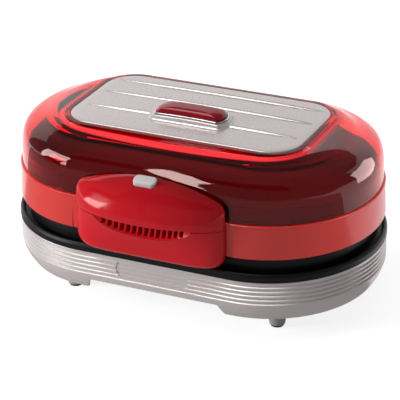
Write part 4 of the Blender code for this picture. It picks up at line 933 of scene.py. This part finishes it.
def makeTray():
    size = {"clear": 0.0005, "drop": 0.0097, "wall": 0.0018, "flange": 0.0015, "rise": 0.0128,
            "rimInset": 0.0055, "coverInset": 0.0035}
    well = bodyHalf - band["topWidth"] - size["clear"]
    flangeOut = bodyHalf - size["coverInset"] - size["clear"]
    under, floor, wall = bandTop + gap, bandTop - size["drop"], size["wall"]
    deck = under + size["flange"]
    rim, top = bodyHalf - size["rimInset"], bandTop + size["rise"]
    outline = [
        (0, floor, 0), (well, floor, 0.002), (well, under, 0), (flangeOut, under, fine),
        (flangeOut, deck, fine), (rim, deck + gap, eased), (rim, top, 0.0007), (rim - wall, top, 0.0007),
        (well - wall, deck, broad), (well - wall, floor + wall, 0.003), (0, floor + wall, 0)]
    settle(smooth(sweepBody("bunTray", outline, closed=False)), "lid", "black", "bun_tray")


makeBand()
makeUpperPlate()
makeTray()
print("stage: lid made")


# Handle

def stationAlong(station, count):  # places packed closer towards both ends, from -1 to 1
    return math.sin(math.pi * (station / count - 0.5))


def makeHandleBody():
    size = {"floor": 0.0030, "cavityHalf": 0.0400, "cavityDepth": 0.0034, "scoopHalf": 0.0450,
            "scoopDepth": 0.0088, "scoopInset": 0.0040, "scoopHeight": 0.0170, "lift": 0.0007, "slots": 14,
            "pitch": 0.00505, "slotWidth": 0.0034, "margin": 0.0032, "cornerSteps": 10, "levels": 12,
            "neck": 0.0024, "neckDepth": 0.0010}
    low, top, half = bandLow - handle["drop"], handle["top"], handle["half"]
    rear = centreY - handle["rear"]

    def reach(along, rise):
        foot = handle["footDepth"] * math.sqrt(max(1 - abs(along) ** handle["square"], 0))
        brim = handle["topDepth"] * max(1 - abs(along) ** handle["plan"], 0) ** (1 / handle["bow"])
        return foot + (brim - foot) * rise ** handle["flare"]

    levels = []  # height, half length and how much of the depth is kept
    for lift, drawnIn in quarterRound(handle["corner"], size["cornerSteps"]):
        below = max(handle["edge"] - lift, 0)
        trim = handle["edge"] - math.sqrt(handle["edge"] ** 2 - below ** 2)
        levels.append((low + lift, half - drawnIn, 1 - trim / handle["footDepth"]))
    straight = low + handle["corner"]
    neck = top - size["neck"]
    for step in range(1, size["levels"] + 1):
        levels.append((straight + (neck - straight) * step / size["levels"], half, 1))
    keep = 1 - size["neckDepth"] / handle["topDepth"]
    levels += [(neck + gap / 2, half - gap, (1 + keep) / 2), (neck + gap, half - gap, keep),
               (top, half - gap, keep)]
    stations = [stationAlong(station, handle["stations"]) for station in range(handle["stations"] + 1)]
    rings = []
    for height, wide, keep in levels:
        rise = (height - low) / (top - low)
        rings.append([Vector((wide * along, rear - reach(along, rise) * keep, height)) for along in stations])
    body = stackRings("handleBody", rings)
    cavityRear = rear - handle["backWall"]
    cavityLow = (-size["cavityHalf"], cavityRear - size["cavityDepth"], low + size["floor"])
    carve(body, block("handleCavity", cavityLow, (size["cavityHalf"], cavityRear, top + 2 * over)))
    front, scoopZ = rear - handle["topDepth"], top + size["lift"]
    scoop = add(bpy.ops.mesh.primitive_uv_sphere_add, "ventScoop", segments=72, ring_count=36, radius=1)
    editMode()
    bpy.ops.transform.resize(value=(size["scoopHalf"], size["scoopDepth"], size["scoopHeight"]))
    bpy.ops.transform.translate(value=(0, front + size["scoopInset"], scoopZ))
    objectMode()
    carve(body, scoop)
    slots = []
    for index in range(size["slots"]):
        middle = (index - (size["slots"] - 1) / 2) * size["pitch"]
        bow = math.sqrt(1 - (middle / size["scoopHalf"]) ** 2)
        bottom = scoopZ - size["scoopHeight"] * bow + size["margin"]
        slots.append(block("ventSlot", (middle - size["slotWidth"] / 2, front - 2 * over, bottom), (
            middle + size["slotWidth"] / 2, cavityRear - size["cavityDepth"] / 2, top + 2 * over)))
    makeActive(slots[0])
    for slot in slots:
        slot.select_set(True)
    bpy.ops.object.join()
    carve(body, slots[0])
    for side in (-1, 1):
        spot = (side * handle["screwX"], rear, bandTop - handle["screwDrop"])
        carve(body, rod("handleHole", screw["radius"] + gap, 2 * screw["reach"], spot, "Y"))
    settle(smooth(body, 35), "lid", "red", "handle_body")


def capRings(half, depth, height, floor, rear):
    shape = {"sag": 0.45, "end": 40, "stop": 0.985, "round": 1.15, "tuck": 0.965, "steps": 18, "start": 0.06}
    lip = math.pi / 2 * shape["start"]
    rings = []
    for station in range(handle["stations"] + 1):
        share = stationAlong(station, handle["stations"])
        along, x = share * shape["stop"], half * share
        reach = depth * (1 - abs(along) ** handle["plan"]) ** (1 / handle["bow"])
        rise = height * (1 - shape["sag"] * share ** 2) * math.sqrt(1 - abs(along) ** shape["end"])
        ring = [Vector((x, rear, floor)), Vector((x, rear - reach * shape["tuck"], floor))]
        for step in range(shape["steps"] + 1):
            angle = lip + (math.pi / 2 - lip) * step / shape["steps"]
            ring.append(Vector((x, rear - reach * math.cos(angle) / math.cos(lip),
                                floor + rise * math.sin(angle) ** shape["round"])))
        rings.append(ring)
    return rings


button = {"half": 0.0095, "depth": 0.0090, "corner": 0.0040, "smallCorner": 0.0008, "slope": 0.39,
          "edge": 0.0014, "edgeSteps": 5, "height": 0.0110, "slopeFall": 0.0018, "lip": 0.0020,
          "lipDepth": 0.0060, "lipHeight": 0.0015, "stem": 0.0018}
buttonLow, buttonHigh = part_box("release_button")
buttonY = (buttonLow.y + buttonHigh.y) / 2


def makeHandleCap():
    size = {"depth": 0.0259, "height": 0.0304, "wall": 0.0021, "endWall": 0.0060, "slotHalf": 0.0380,
            "slot": 0.0024, "openBelow": 0.0120, "openAbove": 0.0040}
    half, depth, height, wall = handle["half"], size["depth"], size["height"], size["wall"]
    floor, rear = handle["top"] + gap, centreY - handle["rear"]
    cap = stackRings("handleCap", capRings(half, depth, height, floor, rear))
    hollow = capRings(half - size["endWall"], depth - 2 * wall, height - 2 * wall, floor + wall, rear - wall)
    carve(cap, stackRings("capHollow", hollow))
    opening = roundedSlab(
        "buttonOpening", (button["half"] + gap, button["depth"] / 2 + gap), button["corner"] + gap,
        buttonHigh.z - size["openBelow"], buttonHigh.z + size["openAbove"], (0, buttonY))
    carve(cap, opening)
    slotRear = rear - handle["backWall"] - gap
    carve(cap, block("capSlot", (-size["slotHalf"], slotRear - size["slot"], floor - over),
                     (size["slotHalf"], slotRear, floor + wall + over)))
    settle(smooth(cap, 35), "lid", "red", "handle_cap")


def makeButton():
    half, deep = button["half"], button["depth"] / 2
    crest = buttonHigh.z - button["slope"] * (deep - button["edge"])
    foot = crest - button["slopeFall"] - button["height"]
    rings = [roundOutline((half, deep), (button["corner"],) * 2, foot, buttonY)]
    for inset, drop in quarterRound(button["edge"], button["edgeSteps"]):
        corner = (max(button["corner"] - inset, button["smallCorner"]),) * 2
        rings.append(roundOutline((half - inset, deep - inset), corner,
                                  lambda x, y: crest - drop + button["slope"] * (y - buttonY), buttonY))
    piece = stackRings("releaseButton", rings)
    reach, lipHalf = half + button["lip"], button["lipDepth"] / 2
    carve(piece, block("buttonLips", (-reach, buttonY - lipHalf, foot),
                       (reach, buttonY + lipHalf, foot + button["lipHeight"])), "UNION")
    outline = [(0, buttonLow.z, 0), (button["stem"], buttonLow.z, crisp), (button["stem"], foot + over, 0),
               (0, foot + over, 0)]
    carve(piece, spinRound("buttonStem", outline, (0, buttonY, 0), 24), "UNION")
    settle(smooth(piece), "button", "grey", "release_button")


makeHandleBody()
makeHandleCap()
makeButton()
print("stage: handle made")


# Cover

panelLow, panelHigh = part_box("top_panel")
panel = {"half": ((panelHigh.x - panelLow.x) / 2, (panelHigh.y - panelLow.y) / 2), "corner": 0.0250,
         "edge": 0.0016, "crown": 0.0013, "seat": coverFoot + dome["plateau"] - dome["recess"] + gap,
         "screwX": 0.0700, "screwY": 0.0300, "boss": 0.0030}


def domeLine(offset):  # inset and height of the wall and shoulder, moved inwards by an offset
    size = {"reach": 0.0215, "rise": 0.0377, "round": 0.020, "arcSteps": 8}
    shares = ((0.000, 0.000), (0.010, 0.363), (0.033, 0.523), (0.093, 0.682), (0.246, 0.814),
              (0.549, 0.920), (1.000, 1.000))
    corners = [(dome["inset"] + size["reach"] * a, coverFoot + size["rise"] * b,
                size["round"] if 0 < a < 1 else 0) for a, b in shares]
    line = softCorners(corners, size["arcSteps"])
    moved = []
    for index, point in enumerate(line):
        run = (line[min(index + 1, len(line) - 1)] - line[max(index - 1, 0)]).normalized()
        moved.append(point + Vector((run.y, -run.x)) * offset)
    moved[0].y = coverFoot
    return moved


def makeCover():
    size = {"draft": 0.0010, "edge": 0.0012, "edgeSteps": 4, "footFront": 0.0395, "footEnd": 0.0420,
            "play": 0.0006, "blends": 6, "foot": 0.0012, "armRise": 0.0060, "eye": 0.0040,
            "armWidth": 0.0080}
    wall = dome["wall"]
    rimX, rimY = [reach + dome["rim"] for reach in panel["half"]]
    top = coverFoot + dome["plateau"]
    floor = top - dome["recess"]

    def foot(x):  # height of the plateau's foot, which rises towards both ends
        share = min(abs(x) / rimX, 1) ** 2
        return coverFoot + size["footFront"] + (size["footEnd"] - size["footFront"]) * share

    def grown(amount, height):
        corner = panel["corner"] + dome["rim"] + amount
        return roundOutline((rimX + amount, rimY + amount), (corner, corner), height)

    def recess(height):
        half = [reach + size["play"] for reach in panel["half"]]
        return roundOutline(half, (panel["corner"] + size["play"],) * 2, height)

    outer = [bodyOutline(bodyHalf - point.x, point.y) for point in domeLine(0)]
    # the plateau rises out of the shoulder in a small hollow curve
    fillet = [grown(size["draft"] + size["foot"] * out, lambda x, y: foot(x) + size["foot"] * up)
              for out, up in ((1, 0), (0.3, 0.3), (0, 1))]
    edge = outer[-1]
    for step in range(1, size["blends"]):
        share = step / size["blends"]
        ease = 1 - (1 - share) ** 2
        outer.append([Vector((a.x + (b.x - a.x) * share, a.y + (b.y - a.y) * share, a.z + (b.z - a.z) * ease))
                      for a, b in zip(edge, fillet[0])])
    outer += fillet
    outer += [grown(-inset, top - drop) for inset, drop in quarterRound(size["edge"], size["edgeSteps"])]
    outer += [recess(top), recess(floor)]
    inner = [bodyOutline(bodyHalf - point.x, point.y) for point in domeLine(wall)]
    inner += [grown(-size["draft"], lambda x, y: foot(x) - wall), grown(-wall, floor - wall)]
    cover = stackRings("bunCover", list(reversed(inner)) + outer)
    web, high = bodyHalf - dome["inset"] - wall / 2, coverAxis[1] + size["armRise"]
    outline = [(web, coverFoot + gap, 0), (web, high + wall / 2, 0), (bodyHalf, high - wall / 2, 0)]
    outline += turnPoints(coverAxis, size["eye"], 75, -160) + [(bodyHalf, coverFoot + gap, 0)]
    for side in (-1, 1):
        middle = side * coverAxis[2]
        carve(cover, sidePlate("coverArm", outline, middle, size["armWidth"]), "UNION")
        spot = (middle, centreY + coverAxis[0], coverAxis[1])
        carve(cover, rod("armBore", coverPin["radius"] + gap, coverPin["bore"], spot, "X"))
        for row in (-1, 1):
            spot = (side * panel["screwX"], centreY + row * panel["screwY"], floor - wall / 2)
            carve(cover, rod("bossHole", panel["boss"] + gap, wall * 2, spot))
    settle(smooth(cover, 40), "cover", "clear_red", "bun_cover")


def panelTop(x, y):
    across = min(abs(x) / panel["half"][0], 1)
    along = min(abs(y - centreY) / panel["half"][1], 1)
    return panel["seat"] + panel["edge"] + panel["crown"] * (1 - across ** 2) * (1 - along ** 2)


def raised(spots, height):  # flat points lifted by a rule
    return [Vector((x, y, height(x, y))) for x, y in spots]


badge = {"y": centreY - 0.0160, "half": 0.0300, "wide": 0.0130, "corner": 0.0030, "rise": 0.0036,
         "end": 0.75, "bow": 0.0024, "sideSteps": 24, "endSteps": 16, "cornerSteps": 4,
         "bezelHalf": 0.0283, "bezelWide": 0.0113, "bezelWidth": 0.0014, "bezelHeight": 0.0012,
         "bezelSteps": 6, "lensCorner": 0.0016, "crown": 0.0052, "lensSteps": 15, "lensEase": 1.6,
         "lensRound": 0.4}
badge["base"] = panelTop(0, badge["y"])


def badgeArch(x):
    return badge["rise"] * (1 - (1 - badge["end"]) * (x / badge["half"]) ** 2)


def badgeOutline(half, wide, corner=badge["corner"]):
    # long sides straight, short ends bowed outwards, corners rounded
    points = []
    straight, tall = half - corner, wide - corner
    bends = quarterRound(corner, badge["cornerSteps"])[1:-1]
    for side in (1, -1):
        for step in range(badge["sideSteps"] + 1):
            points.append((side * straight * (1 - 2 * step / badge["sideSteps"]), side * wide))
        points += [(-side * (half - far), side * (wide - near)) for near, far in bends]
        for step in range(badge["endSteps"] + 1):
            across = 1 - 2 * step / badge["endSteps"]
            points.append((-side * (half + badge["bow"] * (1 - across * across)), side * tall * across))
        points += [(-side * (half - near), -side * (wide - far)) for near, far in bends]
    return [(x, badge["y"] + y) for x, y in points]


def makePanel():
    size = {"round": 0.0010, "roundSteps": 4, "lowRound": 0.3, "runs": (24, 12),
            "ridges": (0.0387, 0.0117, -0.0188), "ridgeHalf": 0.0915, "ridgeWide": 0.0031,
            "ridgeHigh": 0.0014, "ridgeDeep": 0.0008, "ridgeRound": 1.5, "stations": 32,
            "steps": 16, "fade": 6, "stub": 0.04, "bore": 0.0011, "boreDepth": 0.0054}

    def ring(inset, height):
        half = [reach - inset for reach in panel["half"]]
        return roundOutline(half, (panel["corner"] - inset,) * 2, height, runs=size["runs"])

    low = size["round"] * size["lowRound"]
    rings = [ring(low, panel["seat"]), ring(0, panel["seat"] + low)]
    for inset, drop in quarterRound(size["round"], size["roundSteps"]):
        rings.append(ring(inset, lambda x, y: panelTop(x, y) - drop))
    outer = rings[-1]
    for share in (0.94, 0.88, 0.8, 0.7, 0.6, 0.5, 0.4, 0.3, 0.2, 0.1, 0.02):  # the top closes inwards
        spots = [(p.x * share, centreY + (p.y - centreY) * share) for p in outer]
        rings.append(raised(spots, panelTop))
    plate = stackRings("topPanel", rings)
    for middle in size["ridges"]:
        sections = []
        for station in range(size["stations"] + 1):
            along = stationAlong(station, size["stations"])
            x, y = size["ridgeHalf"] * along, centreY + middle
            fade = 1 - (1 - size["stub"]) * abs(along) ** size["fade"]
            surface, wide, high = panelTop(x, y), size["ridgeWide"] * fade, size["ridgeHigh"] * fade
            section = []
            for step in range(size["steps"] + 1):
                across = 1 - 2 * step / size["steps"]
                rise = high * (1 - across ** 2) ** size["ridgeRound"]
                section.append(Vector((x, y + wide * across, surface - gap / 2 + rise)))
            section += [Vector((x, y + side * wide, surface - size["ridgeDeep"])) for side in (-1, 1)]
            sections.append(section)
        carve(plate, stackRings("panelRidge", sections), "UNION")
    rings = []  # the boss flares into the panel below and has a rounded top edge
    for flare, lift in ((0.0034, -0.0006), (0.0030, 0.0001), (0.0018, 0.0003), (0.0009, 0.0009),
                        (0.0003, 0.0018)):
        spots = badgeOutline(badge["half"] + flare, badge["wide"] + flare, badge["corner"] + flare)
        rings.append(raised(spots, lambda x, y: panelTop(x, y) + lift))
    for inset, drop in ((0, 0.0009), (0.0003, 0.0003), (0.0009, 0)):
        spots = badgeOutline(badge["half"] - inset, badge["wide"] - inset)
        rings.append(raised(spots, lambda x, y: badge["base"] + badgeArch(x) - drop))
    carve(plate, stackRings("badgeBoss", rings), "UNION")
    tall = dome["wall"] + panel["edge"] / 2
    for side in (-1, 1):
        for row in (-1, 1):
            foot = Vector((side * panel["screwX"], centreY + row * panel["screwY"],
                           panel["seat"] - dome["wall"]))
            middle = foot + Vector((0, 0, tall / 2))
            carve(plate, rod("panelBoss", panel["boss"], tall, middle), "UNION")
            carve(plate, rod("bossBore", size["bore"] + gap, size["boreDepth"], foot, corners=24))
    settle(smooth(plate, 40), "cover", "silver", "top_panel", brushedSilverPanel())


def makeBadge():
    def ring(half, wide, rise, corner, share=1):  # share draws the ring in towards the middle
        spots = [(x * share, badge["y"] + (y - badge["y"]) * share)
                 for x, y in badgeOutline(half, wide, corner)]
        return raised(spots, lambda x, y: badge["base"] + badgeArch(x) + gap + rise)

    half, wide = badge["bezelHalf"], badge["bezelWide"]
    width, tall = badge["bezelWidth"], badge["bezelHeight"]
    rings = [ring(half, wide, 0, badge["corner"])]
    for step in range(badge["bezelSteps"] + 1):
        angle = math.pi * step / badge["bezelSteps"]
        inset = width / 2 * (1 - math.cos(angle))
        rise = tall / 2 * (1 + math.sin(angle))
        rings.append(ring(half - inset, wide - inset, rise, badge["corner"] - inset))
    rings.append(ring(half - width, wide - width, 0, badge["corner"] - width))
    bezel = stackRings("badgeBezel", rings, closed=True)
    settle(smooth(bezel, 50), "cover", "chrome", "badge_bezel")
    half, wide = half - width - gap, wide - width - gap
    rings = [ring(half, wide, 0, badge["lensCorner"])]
    for step in range(badge["lensSteps"]):
        angle = math.pi / 2 * (1 - (1 - step / badge["lensSteps"]) ** badge["lensEase"])
        rise = tall / 2 + badge["crown"] * math.sin(angle)
        share = math.cos(angle) ** badge["lensRound"]
        rings.append(ring(half, wide, rise, badge["lensCorner"], share))
    settle(smooth(stackRings("badgeLens", rings), 50), "cover", "lens_red", "badge_lens")


makeCover()
makePanel()
makeBadge()
print("stage: cover made")

# Which pieces the lamps and cards light
linkLight("softboxTop", ["bunCover", "handleCap"], "EXCLUDE")
for source in ("cardLeft", "cardMiddle", "cardLower", "cardRight", "softboxRim"):
    linkLight(source, ["bunCover"])
linkLight("cardHandle", ["handleCap"])
linkLight("cardRibs", ["baseShell"])
linkLight("softboxRight", ["lidBand"])
print("stage: lights linked")
